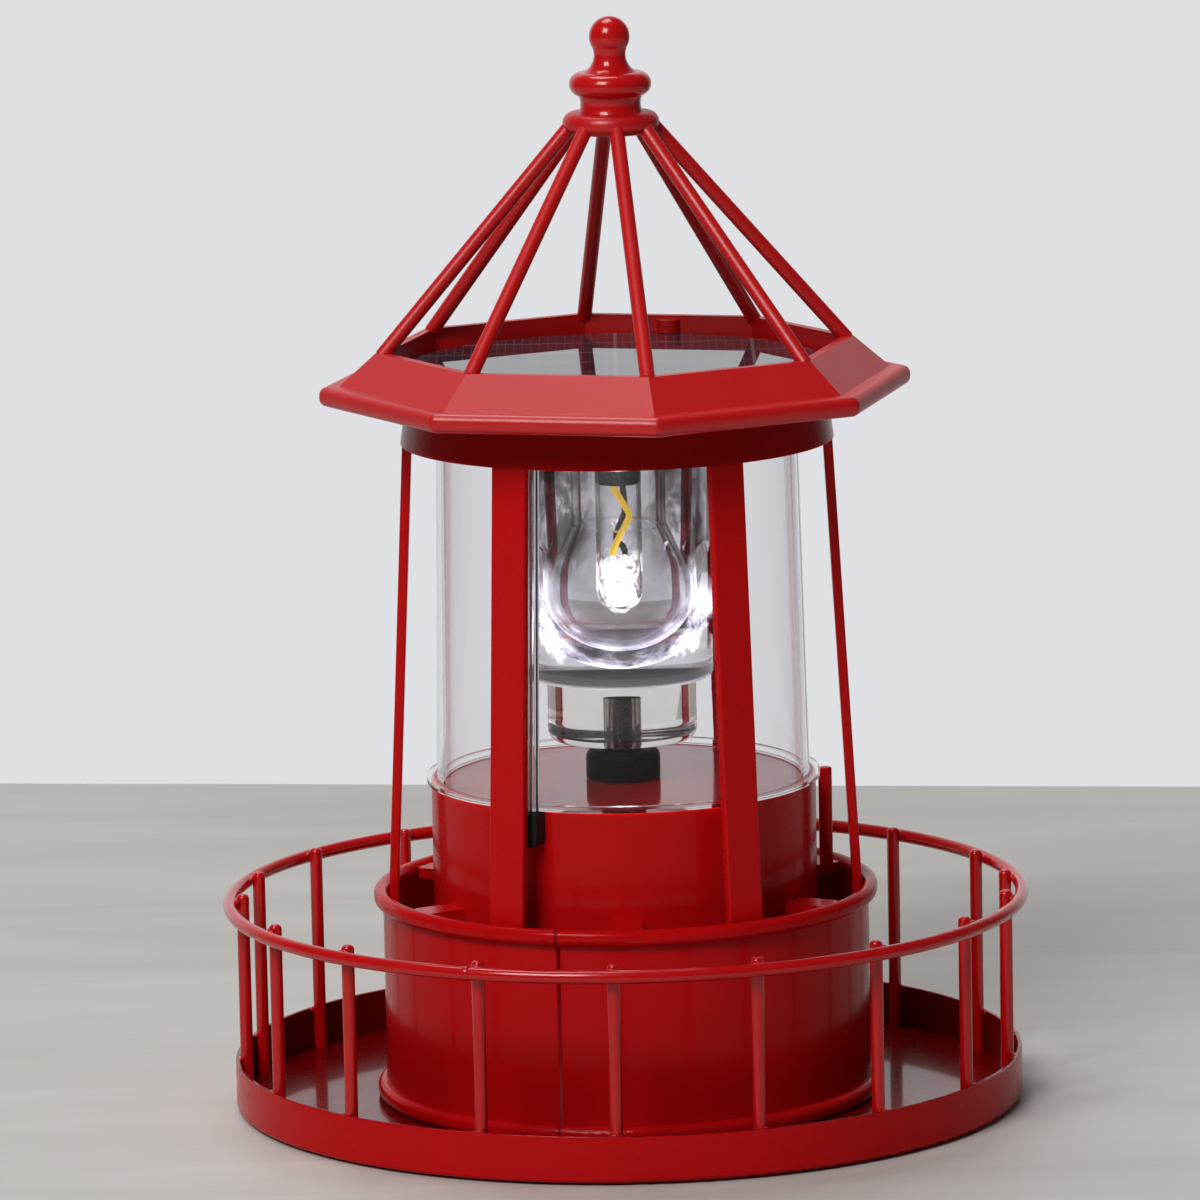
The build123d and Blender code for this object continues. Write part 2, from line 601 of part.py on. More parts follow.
knob += block(
    knob_x - KNOB_LENGTH / 2 - KNOB_FLANGE, knob_x + KNOB_LENGTH / 2 + KNOB_FLANGE,
    -SWITCH_OFFSET - KNOB_WIDTH / 2 - KNOB_FLANGE, -SWITCH_OFFSET + KNOB_WIDTH / 2 + KNOB_FLANGE,
    knob_top - KNOB_PLATE, knob_top
)
nodes["switch_knob"] = knob


# Gears
def gear(teeth, turn, bottom, top):
    """Spur gear about the vertical axis with a tooth centred on a direction, in degrees from +X."""
    pitch_radius = MODULE * teeth / 2
    base_radius = pitch_radius * math.cos(PRESSURE)
    tip_radius = pitch_radius + ADDENDUM * MODULE
    root_radius = pitch_radius - DEDENDUM * MODULE
    flank_radius = max(base_radius, root_radius)
    half_tooth = math.pi / (2 * teeth) - BACKLASH / (2 * pitch_radius)

    def flank_angle(radius):
        angle = math.acos(min(1.0, base_radius / radius))
        return half_tooth + math.tan(PRESSURE) - PRESSURE - math.tan(angle) + angle

    def point(radius, angle):
        return radius * math.cos(angle), radius * math.sin(angle)

    edges = []
    for index in range(teeth):
        middle = math.radians(turn) + index * 2 * math.pi / teeth
        following = middle + 2 * math.pi / teeth
        foot = flank_angle(flank_radius)
        half_way = (flank_radius + tip_radius) / 2
        low_right = point(root_radius, middle - foot)
        right = point(flank_radius, middle - foot)
        right_middle = point(half_way, middle - flank_angle(half_way))
        right_tip = point(tip_radius, middle - flank_angle(tip_radius))
        left_tip = point(tip_radius, middle + flank_angle(tip_radius))
        left_middle = point(half_way, middle + flank_angle(half_way))
        left = point(flank_radius, middle + foot)
        low_left = point(root_radius, middle + foot)
        next_root = point(root_radius, following - foot)
        if flank_radius > root_radius:
            edges.append(Line(low_right, right))
            edges.append(Line(left, low_left))
        edges.append(ThreePointArc(right, right_middle, right_tip))
        edges.append(Line(right_tip, left_tip))
        edges.append(ThreePointArc(left_tip, left_middle, left))
        edges.append(Line(low_left, next_root))
    face = make_face(edges)
    return extrude(Pos(0, 0, bottom) * face, top - bottom)


# Drive: motor pinion to idler wheel, idler pinion to output wheel
idler_y = CENTRE_DISTANCE
motor_x = CENTRE_DISTANCE * math.cos(math.radians(MOTOR_TURN))
motor_y = idler_y + CENTRE_DISTANCE * math.sin(math.radians(MOTOR_TURN))
wheel_step = 360 / WHEEL_TEETH

# Motor: round can hung under the gear plate
motor = rod(MOTOR_RADIUS, MOTOR_BOTTOM, GEAR_PLATE_BOTTOM)
motor = fillet(bottom_edges(motor), LEDGE)
motor += rod(MOTOR_BOSS, GEAR_PLATE_BOTTOM - LEDGE, GEAR_PLATE_TOP - PLATE / 4)
motor -= rod(PIN_RADIUS + RUNNING, MOTOR_BOTTOM + LEDGE, GEAR_PLATE_TOP)
motor_screw = screw(MOTOR_SCREW_HEAD, MOTOR_SCREW_HEAD_HEIGHT, MOTOR_SCREW_SHANK, MOTOR_SCREW_LENGTH)
motor_screws = []
for side in (-1, 1):
    motor -= rod(
        MOTOR_SCREW_SHANK, GEAR_PLATE_TOP - MOTOR_SCREW_LENGTH, GEAR_PLATE_BOTTOM, side * MOTOR_SCREW_OFFSET
    )
    motor_screws.append(Pos(motor_x + side * MOTOR_SCREW_OFFSET, motor_y, GEAR_PLATE_TOP) * motor_screw)
nodes["motor"] = Pos(motor_x, motor_y) * motor
nodes["motor_screws"] = Compound(motor_screws)

# Motor shaft and its pinion
pinion_low = WHEEL_BOTTOM - PINION_OVERLAP
pinion_high = WHEEL_TOP + PINION_OVERLAP
motor_shaft = rod(PIN_RADIUS, MOTOR_BOTTOM + 2 * LEDGE, pinion_high)
nodes["motor_shaft"] = Pos(motor_x, motor_y) * motor_shaft
motor_pinion = gear(PINION_TEETH, MOTOR_TURN + HALF_TURN, pinion_low, pinion_high)
motor_pinion -= rod(PIN_RADIUS, pinion_low, pinion_high)
nodes["motor_pinion"] = Pos(motor_x, motor_y) * motor_pinion

# Idler: wheel and pinion in one moulding, loose on its axle
idler = gear(WHEEL_TEETH, MOTOR_TURN + wheel_step / 2, WHEEL_BOTTOM, WHEEL_TOP)
idler += gear(PINION_TEETH, -IDLER_TURN, WHEEL_TOP, IDLER_TOP)
idler += rod(IDLER_HUB, GEAR_PLATE_TOP + SLIDE_GAP, WHEEL_BOTTOM)
idler -= rod(PIN_RADIUS + RUNNING, GEAR_PLATE_TOP, IDLER_TOP)
nodes["idler_gear"] = Pos(0, idler_y) * idler
nodes["idler_axle"] = rod(PIN_RADIUS, GEAR_PLATE_BOTTOM, TOP_PLATE_BOTTOM - FIT, 0, idler_y)

# Output gear, pressed on the output shaft
output_gear = gear(WHEEL_TEETH, IDLER_TURN + wheel_step / 2, OUTPUT_BOTTOM, OUTPUT_TOP)
output_gear += rod(BUSH_RADIUS, OUTPUT_BOTTOM - PINION_OVERLAP, OUTPUT_TOP + PINION_OVERLAP)
output_gear -= rod(SHAFT_RADIUS, WHEEL_TOP, IDLER_TOP + LEDGE)
nodes["output_gear"] = output_gear
nodes["output_shaft"] = rod(SHAFT_RADIUS, GEAR_PLATE_BOTTOM, SHAFT_TOP)

# Gear plate: round plate on the three columns of the cup
gear_plate = rod(CUP_INNER - FIT * 2, GEAR_PLATE_BOTTOM, GEAR_PLATE_TOP)
gear_plate -= rod(BUSH_RADIUS, GEAR_PLATE_BOTTOM, GEAR_PLATE_TOP)
gear_plate -= rod(PIN_RADIUS, GEAR_PLATE_BOTTOM, GEAR_PLATE_TOP, 0, idler_y)
gear_plate -= rod(MOTOR_BOSS + WELD_GAP, GEAR_PLATE_BOTTOM, GEAR_PLATE_TOP, motor_x, motor_y)
for side in (-1, 1):
    gear_plate -= rod(
        MOTOR_SCREW_SHANK + FIT, GEAR_PLATE_BOTTOM, GEAR_PLATE_TOP, motor_x + side * MOTOR_SCREW_OFFSET, motor_y
    )
plate_screw = screw(PLATE_SCREW_HEAD, PLATE_SCREW_HEAD_HEIGHT, COLUMN_BORE, BASE_SCREW_LENGTH)
plate_screws = []
for azimuth in COLUMN_AZIMUTHS:
    x, y = place(COLUMN_OFFSET, azimuth)
    gear_plate -= rod(PLATE_SCREW_HOLE, GEAR_PLATE_BOTTOM, GEAR_PLATE_TOP, x, y)
    plate_screws.append(Pos(x, y, GEAR_PLATE_TOP) * plate_screw)
nodes["gear_plate"] = gear_plate
nodes["gear_plate_screws"] = Compound(plate_screws)

# Shaft bushes: two flanged bearings, one in each plate
bush = rod(BUSH_RADIUS, 0, PLATE) + rod(BUSH_FLANGE, PLATE, PLATE + BUSH_FLANGE_THICK)
bush -= rod(SHAFT_RADIUS + RUNNING, 0, PLATE + BUSH_FLANGE_THICK)
low_bush = Pos(0, 0, GEAR_PLATE_BOTTOM) * bush
high_bush = Pos(0, 0, TOP_PLATE_TOP) * Rot(HALF_TURN, 0, 0) * bush
nodes["shaft_bushes"] = Compound([low_bush, high_bush])

# Top plate: glossy disc on the ledge of the cup
top_plate = rod(CUP_INNER - FIT, TOP_PLATE_BOTTOM, TOP_PLATE_TOP)
top_plate -= rod(BUSH_RADIUS, TOP_PLATE_BOTTOM, TOP_PLATE_TOP)
nodes["top_plate"] = top_plate

# Coupling: black hub pressed on the shaft, with a spigot for the lens carrier
coupling = fillet(top_edges(rod(COUPLING_RADIUS, COUPLING_BOTTOM, COUPLING_TOP)), COUPLING_ROUND)
coupling += rod(BUSH_FLANGE, COUPLING_TOP - LEDGE, CARRIER_BOTTOM)
coupling += rod(CARRIER_BORE, CARRIER_BOTTOM - LEDGE, SHAFT_TOP)
coupling -= rod(SHAFT_RADIUS, COUPLING_BOTTOM, SHAFT_TOP)
nodes["coupling"] = coupling

# Lens carrier: solid clear turning, pressed on the spigot of the coupling
carrier = fillet(bottom_edges(rod(CARRIER_RADIUS, CARRIER_BOTTOM, LENS_BOTTOM)), CARRIER_ROUND)
carrier -= rod(CARRIER_BORE, CARRIER_BOTTOM, SHAFT_TOP)
nodes["lens_carrier"] = carrier

# Beam lens: clear cup round the globe with a bull's-eye on each side
seat_radius = GLOBE_RADIUS + LENS_GAP
lens_mouth = LENS_RADIUS - LENS_WALL
lens = fillet(bottom_edges(rod(LENS_RADIUS, LENS_BOTTOM, LENS_TOP)), LENS_ROUND)
eye_centre = LENS_RADIUS + BULLSEYE_RISE - BULLSEYE_CURVE
eye_rim = eye_centre + math.sqrt(BULLSEYE_CURVE**2 - BULLSEYE_RADIUS**2)
eye_root = LENS_RADIUS - BULLSEYE_DEPTH
eye_outline = Curve() + [
    Line((eye_root, GLOBE_CENTRE), (eye_root, GLOBE_CENTRE + BULLSEYE_RADIUS)),
    Line((eye_root, GLOBE_CENTRE + BULLSEYE_RADIUS), (eye_rim, GLOBE_CENTRE + BULLSEYE_RADIUS)),
    RadiusArc(
        (eye_rim, GLOBE_CENTRE + BULLSEYE_RADIUS), (eye_centre + BULLSEYE_CURVE, GLOBE_CENTRE), BULLSEYE_CURVE
    ),
    Line((eye_centre + BULLSEYE_CURVE, GLOBE_CENTRE), (eye_root, GLOBE_CENTRE)),
]
eye = revolve(make_face(Plane.XZ * eye_outline), Axis((0, 0, GLOBE_CENTRE), (1, 0, 0)))
lens += eye
lens += Rot(0, 0, HALF_TURN) * eye
lens_cavity = Curve() + [
    Line((0, GLOBE_CENTRE - seat_radius), (0, LENS_TOP)),
    Line((0, LENS_TOP), (lens_mouth, LENS_TOP)),
    Line((lens_mouth, LENS_TOP), (seat_radius, GLOBE_CENTRE)),
    RadiusArc((seat_radius, GLOBE_CENTRE), (0, GLOBE_CENTRE - seat_radius), seat_radius),
]
nodes["beam_lens"] = lens - turned(lens_cavity)


# Bulb globe: clear blown bulb hung from the ceiling
def globe_body(thinner):
    """Body of the globe, thinner all round by an amount."""
    radius = GLOBE_RADIUS - thinner
    neck = GLOBE_NECK - thinner
    shoulder = GLOBE_SHOULDER - thinner
    shoulder_height = GLOBE_CENTRE + math.sqrt(radius**2 - shoulder**2)
    neck_height = GLOBE_CENTRE + GLOBE_NECK_HEIGHT - thinner / 2
    outline = Curve() + [
        Line((0, CEILING_BOTTOM), (0, GLOBE_CENTRE - radius)),
        ThreePointArc((0, GLOBE_CENTRE - radius), (radius, GLOBE_CENTRE), (shoulder, shoulder_height)),
        Line((shoulder, shoulder_height), (neck, neck_height)),
        Line((neck, neck_height), (neck, CEILING_BOTTOM)),
        Line((neck, CEILING_BOTTOM), (0, CEILING_BOTTOM)),
    ]
    return turned(outline)


nodes["bulb_globe"] = globe_body(0.0) - globe_body(GLOBE_WALL)

# LED tube: clear tube with a round end, hung from the ceiling
tube_inner = TUBE_RADIUS - TUBE_WALL
tube_end = GLOBE_CENTRE - TUBE_DROP
tube_centre = tube_end + TUBE_RADIUS
led_tube = rod(TUBE_RADIUS, tube_centre, CEILING_BOTTOM) + Pos(0, 0, tube_centre) * Sphere(TUBE_RADIUS)
led_tube -= rod(tube_inner, tube_centre, CEILING_BOTTOM) + Pos(0, 0, tube_centre) * Sphere(tube_inner)
nodes["led_tube"] = led_tube

# LED with two legs, and the two wires that feed it
led_tip = tube_end + TUBE_WALL + SLIDE_GAP
led_centre = led_tip + LED_RADIUS
led_top = led_centre + LED_BODY
leg_top = led_top + LED_LEG_LENGTH
led = rod(LED_RADIUS, led_centre, led_top) + Pos(0, 0, led_centre) * Sphere(LED_RADIUS)
led += rod(LED_FLANGE, led_top - LED_LEG_LENGTH / 2, led_top)
for side in (-1, 1):
    led += rod(LED_LEG, led_top - LED_LEG_LENGTH / 2, leg_top, side * LEG_X, side * LEG_Y)
nodes["led"] = led
wire_top = CEILING_TOP + LEDGE
wire_span = BUSH_BOTTOM - WIRE_LEAD - leg_top
yellow_points = [
    (-LEG_X, -LEG_Y, leg_top),
    (-LEG_X, -LEG_Y, leg_top + WIRE_RISE),
    (YELLOW_KINK[0], -LEG_Y, leg_top + YELLOW_KINK[1] * wire_span),
    (-WIRE_TOP_X, -LEG_Y, leg_top + wire_span),
    (-WIRE_TOP_X, -LEG_Y, wire_top),
]
black_points = [
    (LEG_X, LEG_Y, leg_top),
    (LEG_X, LEG_Y, leg_top + WIRE_RISE),
    (BLACK_LOW_KINK[0], LEG_Y, leg_top + BLACK_LOW_KINK[1] * wire_span),
    (BLACK_KINK[0], LEG_Y, leg_top + BLACK_KINK[1] * wire_span),
    (WIRE_TOP_X, LEG_Y, leg_top + wire_span),
    (WIRE_TOP_X, LEG_Y, wire_top),
]
nodes["led_wire_yellow"] = wire(yellow_points, WIRE_RADIUS, WIRE_BEND)
nodes["led_wire_black"] = wire(black_points, WIRE_RADIUS, WIRE_BEND)

# LED bush: black plug in the top of the tube, with a bore for each wire
led_bush = fillet(bottom_edges(rod(tube_inner, BUSH_BOTTOM, CEILING_BOTTOM)), WIRE_RADIUS / 2)
led_bush -= rod(WIRE_RADIUS, BUSH_BOTTOM, CEILING_BOTTOM, -WIRE_TOP_X, -LEG_Y)
led_bush -= rod(WIRE_RADIUS, BUSH_BOTTOM, CEILING_BOTTOM, WIRE_TOP_X, LEG_Y)
nodes["led_bush"] = led_bush

# Glass: drafted clear tube with a thin flange at the foot
nodes["glass"] = turned_points(
    (GLASS_FOOT_RADIUS - GLASS_WALL, CUP_TOP),
    (GLASS_FLANGE_RADIUS, CUP_TOP),
    (GLASS_FLANGE_RADIUS, CUP_TOP + GLASS_FLANGE),
    (GLASS_FOOT_RADIUS, CUP_TOP + GLASS_FLANGE),
    (GLASS_TOP_RADIUS, GLASS_TOP),
    (GLASS_TOP_RADIUS - GLASS_WALL, GLASS_TOP),
)

# Lantern ceiling: disc on the ledge of the band
ceiling = rod(BAND_INNER - FIT * 2, CEILING_BOTTOM, CEILING_TOP)
ceiling -= rod(WIRE_HOLE, CEILING_BOTTOM, CEILING_TOP)
nodes["lantern_ceiling"] = ceiling - lead_way

# Lantern cage: band, six posts and a foot ring in one moulding
post_head = CEILING_BOTTOM
post_side = make_face(
    Polyline(
        (-BAND_INNER - POST_THICK, post_head),
        (-POST_FOOT_OUTER, DRUM_TOP),
        (-POST_FOOT_OUTER, EMBOSS_TOP),
        (-POST_FOOT_INNER, EMBOSS_TOP),
        (-POST_FOOT_INNER, DRUM_TOP),
        (-BAND_INNER, post_head),
        close=True,
    )
)
post = extrude(Plane.YZ * post_side, POST_WIDTH / 2, both=True)
long_edges = post.edges().filter_by(lambda edge: edge.length > DRUM_TOP - EMBOSS_TOP - WELD_GAP)
post = fillet(long_edges, POST_THICK * POST_ROUND_SHARE)
cage = turned_points(
    (BAND_LEDGE_INNER, BAND_BOTTOM),
    (BAND_FOOT_RADIUS, BAND_BOTTOM),
    (BAND_INNER + BAND_HEAD_WALL, BAND_TOP),
    (BAND_INNER, BAND_TOP),
    (BAND_INNER, CEILING_BOTTOM),
    (BAND_LEDGE_INNER, CEILING_BOTTOM),
)
cage += ring(EMBOSS_RADIUS, FOOT_RING_INNER, EMBOSS_TOP, FOOT_RING_TOP)
for index in range(LUG_COUNT):
    cage += turned_to(post, POST_FIRST + index * 360 / LUG_COUNT)
nodes["lantern_cage"] = cage - lead_way

# Solar panel: round panel on the floor of the eave
corner = 1 / math.cos(math.pi / EAVE_SIDES)
wall_inner = SLOPE_TOP_RADIUS - EAVE_WALL
panel_radius = wall_inner / corner - PANEL_GAP
panel = rod(panel_radius, PANEL_BOTTOM, PANEL_TOP)
nodes["solar_panel"] = fillet(top_edges(panel), PANEL_THICK * PANEL_ROUND_SHARE)


# Roof frame: eight sided eave, ribs and hub in one moulding
def octagon(radius, height):
    """Eight sided outline by its corner radius."""
    return Pos(0, 0, height) * RegularPolygon(radius, EAVE_SIDES, rotation=EAVE_TURN)


def prism(radius, bottom, top):
    """Upright eight sided prism."""
    return extrude(octagon(radius, bottom), top - bottom)


def frustum(low_radius, bottom, high_radius, top):
    """Eight sided solid that narrows upwards."""
    return loft([octagon(low_radius, bottom), octagon(high_radius, top)], ruled=True)


slope = (SLOPE_FOOT_RADIUS - SLOPE_TOP_RADIUS) / (SLOPE_TOP - LIP_TOP)
wall_outer = SLOPE_TOP_RADIUS + FIT
hollow_radius = SLOPE_FOOT_RADIUS - EAVE_WALL
hollow_low = LIP_TOP - EAVE_SKIN + (SLOPE_FOOT_RADIUS - hollow_radius) / slope
hollow_high = LIP_TOP - EAVE_SKIN + (SLOPE_FOOT_RADIUS - wall_outer) / slope
lip = prism(LIP_RADIUS, LIP_BOTTOM, LIP_TOP)
lip = fillet(lip.edges().filter_by(Axis.Z), LIP_ROUND)
lip = fillet(top_edges(lip), LIP_ROUND)
lip = fillet(bottom_edges(lip), LIP_ROUND)
eave = lip + frustum(SLOPE_FOOT_RADIUS, LIP_TOP - LIP_ROUND, SLOPE_TOP_RADIUS, SLOPE_TOP)
hollow = prism(hollow_radius, LIP_BOTTOM, hollow_low)
hollow += frustum(hollow_radius, hollow_low, wall_outer, hollow_high)
hollow -= prism(wall_outer, LIP_BOTTOM, hollow_high)
eave -= hollow
eave -= prism(wall_inner, LIP_BOTTOM, SLOPE_TOP)
floor_radius = wall_inner / corner + EAVE_WALL / 2
eave += ring(floor_radius, panel_radius - PANEL_LAP, BAND_TOP, PANEL_BOTTOM)
eave += ring(BAND_INNER - FIT * 2, BAND_LEDGE_INNER + FIT, CEILING_TOP + FIT, BAND_TOP + EAVE_FLOOR / 2)
for turn in (HALF_TURN / EAVE_SIDES, HALF_TURN + HALF_TURN / EAVE_SIDES):
    x, y = place(wall_inner / corner + FIT, EAVE_TURN - turn)
    eave += rod(EAVE_BOSS, PANEL_TOP + FIT, SLOPE_TOP - LEDGE / 2, x, y)
roof = eave
rib_foot = SLOPE_TOP_RADIUS - RIB_RADIUS * RIB_INSET_SHARE
rib_run = rib_foot - RIB_HEAD
rib_length = math.hypot(RIB_HEIGHT, rib_run)
rib_room = prism(SLOPE_TOP_RADIUS - RIB_EDGE, LIP_TOP, HUB_TOP)
rib_lean = math.degrees(math.atan2(rib_run, RIB_HEIGHT))
for index in range(EAVE_SIDES):
    rib = Pos(0, -rib_foot, SLOPE_TOP) * Rot(-rib_lean, 0, 0) * rod(RIB_RADIUS, -RIB_ROOT, rib_length)
    roof += turned_to(rib, EAVE_TURN + index * 360 / EAVE_SIDES) & rib_room
hub = rod(HUB_RADIUS, HUB_BOTTOM, HUB_TOP)
hub = fillet(top_edges(hub), HUB_ROUND)
hub = fillet(bottom_edges(hub), HUB_ROUND)
roof += hub
roof -= rod(SPIGOT_RADIUS + WELD_GAP, HUB_BOTTOM, HUB_TOP)
nodes["roof_frame"] = roof

# Finial: turned knob on a spigot
ball_foot = BALL_CENTRE - math.sqrt(BALL_RADIUS**2 - FINIAL_BALL_FOOT**2)
bead_height = HUB_TOP + FINIAL_BEAD_RISE
bead_low = bead_height - FINIAL_BEAD_HALF
bead_high = bead_height + FINIAL_BEAD_HALF
neck_height = BALL_CENTRE - FINIAL_NECK_DROP
finial_outline = Curve() + [
    Line((0, HUB_BOTTOM), (SPIGOT_RADIUS, HUB_BOTTOM)),
    Line((SPIGOT_RADIUS, HUB_BOTTOM), (SPIGOT_RADIUS, HUB_TOP)),
    Line((SPIGOT_RADIUS, HUB_TOP), (FINIAL_FOOT, HUB_TOP)),
    ThreePointArc((FINIAL_FOOT, HUB_TOP), (FINIAL_WAIST, HUB_TOP + FINIAL_WAIST_RISE), (FINIAL_FOOT, bead_low)),
    ThreePointArc((FINIAL_FOOT, bead_low), (FINIAL_BEAD, bead_height), (FINIAL_SHOULDER, bead_high)),
    ThreePointArc((FINIAL_SHOULDER, bead_high), (FINIAL_NECK, neck_height), (FINIAL_BALL_FOOT, ball_foot)),
    ThreePointArc((FINIAL_BALL_FOOT, ball_foot), (BALL_RADIUS, BALL_CENTRE), (0, BALL_CENTRE + BALL_RADIUS)),
    Line((0, BALL_CENTRE + BALL_RADIUS), (0, HUB_BOTTOM)),
]
nodes["finial"] = turned(finial_outline)

os.makedirs("parts", exist_ok=True)
for name, piece in nodes.items():
    export_step(piece, f"parts/{name}.step")
    box = piece.bounding_box()
    solids = piece.solids()
    volume = sum(solid.volume for solid in solids)
    print(f"{name:22s} {len(solids)} {volume:10.1f} z {box.min.Z:7.2f} {box.max.Z:7.2f} r {box.max.X:7.2f}")
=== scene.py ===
import math

import bmesh
import bpy
from mathutils import Matrix, Vector, noise


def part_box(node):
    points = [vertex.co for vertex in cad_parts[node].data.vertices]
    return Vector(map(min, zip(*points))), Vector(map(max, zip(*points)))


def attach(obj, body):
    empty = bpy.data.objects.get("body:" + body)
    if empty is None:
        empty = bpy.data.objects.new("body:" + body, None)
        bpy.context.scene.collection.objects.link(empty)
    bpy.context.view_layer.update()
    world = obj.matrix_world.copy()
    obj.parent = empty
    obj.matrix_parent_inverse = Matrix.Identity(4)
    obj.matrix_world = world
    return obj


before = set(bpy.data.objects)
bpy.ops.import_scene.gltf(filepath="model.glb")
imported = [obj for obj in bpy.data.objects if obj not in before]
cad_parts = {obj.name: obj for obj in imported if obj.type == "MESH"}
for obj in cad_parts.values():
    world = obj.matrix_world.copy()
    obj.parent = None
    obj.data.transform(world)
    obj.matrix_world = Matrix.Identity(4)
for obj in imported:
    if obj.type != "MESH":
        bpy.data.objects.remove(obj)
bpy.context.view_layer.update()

# Base pan: a disc of steel sheet pressed up into a rim, with a raised middle that the works stand on.
# It is sprayed with gloss red enamel after welding, which leaves a faint orange peel and a few nibs.
# Inside the rim the floor and wall are painted darker as shade, and the floor's coat shines more than the
# outside.
MM = 0.001
ENAMEL_RED = (0.56, 0.004, 0.0055, 1.0)
ENAMEL_DEEP = (0.47, 0.0026, 0.004, 1.0)
NIB_PINK = (0.5, 0.03, 0.04, 1.0)
NIB_EDGE = 0.12
NIB_CORE = 0.05
NIB_HEIGHT = 0.8
CLOUD_SHARE = 0.5
GLOSS_SPAN = (0.5, 1.0)
PAN_SHADE_RED = (0.1, 0.0008, 0.0015, 1.0)
PAN_SHADE_SHARE = 0.9
LEVEL_INWARD = (-1.0, -1.0, 0.0)
FLOOR_LEAN = (0.7, 0.95)
WALL_LEAN = (0.5, 0.9)
POOLED_COAT = (0.2, 0.7)


def new_material(name):
    """Material with the tree and the shader that its section sets up."""
    material = bpy.data.materials.new(name)
    material.use_nodes = True
    return material, *opened(material)


def opened(material):
    """Node tree and shader of a material."""
    return material.node_tree, material.node_tree.nodes["Principled BSDF"]


def add(tree, kind, values=None, links=None, **settings):
    """Shader node with its settings, socket values and incoming links."""
    made = tree.nodes.new("ShaderNode" + kind)
    for key, value in settings.items():
        setattr(made, key, value)
    for key, value in (values or {}).items():
        made.inputs[key].default_value = value
    for key, socket in (links or {}).items():
        tree.links.new(socket, made.inputs[key])
    return made


def object_point(tree):
    """Place of a surface point in the shared frame."""
    return add(tree, "TexCoord").outputs["Object"]


def split(tree, vector):
    """The three parts of a vector, by their names."""
    return add(tree, "SeparateXYZ", links={"Vector": vector}).outputs


def times(tree, first, second):
    """Product of two shares."""
    return add(tree, "Math", links={0: first, 1: second}, operation="MULTIPLY").outputs[0]


def larger(tree, first, second):
    """The larger of two shares."""
    return add(tree, "Math", links={0: first, 1: second}, operation="MAXIMUM").outputs[0]


def straight_ramp(tree, value, start, end, low=0.0, high=1.0):
    """Share that goes evenly from low to high while a value goes from start to end."""
    span = {"From Min": start, "From Max": end, "To Min": low, "To Max": high}
    return add(tree, "MapRange", span, {"Value": value}).outputs[0]


def soft_ramp(tree, value, start, end, low=0.0, high=1.0):
    """Share that eases from low to high while a value goes from start to end."""
    share = straight_ramp(tree, value, start, end, low, high)
    share.node.interpolation_type = "SMOOTHSTEP"
    return share


def blend_colours(tree, share, low, high):
    """Colour that goes from low to high with a share. Either end is a colour or a socket."""
    mixed = add(tree, "Mix", data_type="RGBA")
    tree.links.new(share, mixed.inputs[0])
    for index, end in ((6, low), (7, high)):
        if isinstance(end, tuple):
            mixed.inputs[index].default_value = end
        else:
            tree.links.new(end, mixed.inputs[index])
    return mixed.outputs[2]


def shader_group(name, inputs, outputs):
    """Empty shader node group with named sockets."""
    group = bpy.data.node_groups.new(name, "ShaderNodeTree")
    for title, kind, value in inputs:
        socket = group.interface.new_socket(title, in_out="INPUT", socket_type="NodeSocket" + kind)
        socket.default_value = value
    for title, kind in outputs:
        group.interface.new_socket(title, in_out="OUTPUT", socket_type="NodeSocket" + kind)
    return group, group.nodes.new("NodeGroupInput").outputs, group.nodes.new("NodeGroupOutput").inputs


skin, skin_in, skin_out = shader_group(
    "skin",
    (
        ("Colour", "Color", ENAMEL_RED),
        ("Deep Colour", "Color", ENAMEL_DEEP),
        ("Nib Colour", "Color", NIB_PINK),
        ("Cloud Scale", "Float", 40.0),
        ("Grain Scale", "Float", 700.0),
        ("Nib Scale", "Float", 120.0),
        ("Nib Share", "Float", 0.05),
        ("Gloss Low", "Float", 0.2),
        ("Gloss High", "Float", 0.3),
    ),
    (("Colour", "Color"), ("Roughness", "Float"), ("Height", "Float")),
)
skin_place = object_point(skin)
cloud = add(
    skin, "TexNoise", {"Detail": 4.0, "Roughness": 0.6},
    {"Vector": skin_place, "Scale": skin_in["Cloud Scale"]},
).outputs["Fac"]
grain = add(
    skin, "TexNoise", {"Detail": 2.0, "Roughness": 0.5},
    {"Vector": skin_place, "Scale": skin_in["Grain Scale"]},
).outputs["Fac"]
nibs = add(skin, "TexVoronoi", links={"Vector": skin_place, "Scale": skin_in["Nib Scale"]})
nib_core = soft_ramp(skin, nibs.outputs["Distance"], NIB_EDGE, NIB_CORE)
nib_pick = add(skin, "SeparateColor", links={"Color": nibs.outputs["Color"]}).outputs["Red"]
nib_kept = add(skin, "Math", links={0: nib_pick, 1: skin_in["Nib Share"]}, operation="LESS_THAN").outputs[0]
nib = times(skin, nib_core, nib_kept)
toned = blend_colours(skin, cloud, skin_in["Deep Colour"], skin_in["Colour"])
spotted = blend_colours(skin, nib, toned, skin_in["Nib Colour"])
gloss_mix = add(skin, "Math", {1: CLOUD_SHARE}, {0: cloud, 2: grain}, operation="MULTIPLY_ADD").outputs[0]
gloss = straight_ramp(skin, gloss_mix, *GLOSS_SPAN)
skin.links.new(skin_in["Gloss Low"], gloss.node.inputs["To Min"])
skin.links.new(skin_in["Gloss High"], gloss.node.inputs["To Max"])
relief = add(skin, "Math", {1: NIB_HEIGHT}, {0: nib, 2: grain}, operation="MULTIPLY_ADD").outputs[0]
skin.links.new(spotted, skin_out["Colour"])
skin.links.new(gloss, skin_out["Roughness"])
skin.links.new(relief, skin_out["Height"])


def set_finish(shader, finish):
    """Sets plain values on a shader's own sockets."""
    for title, value in finish.items():
        shader.inputs[title].default_value = value


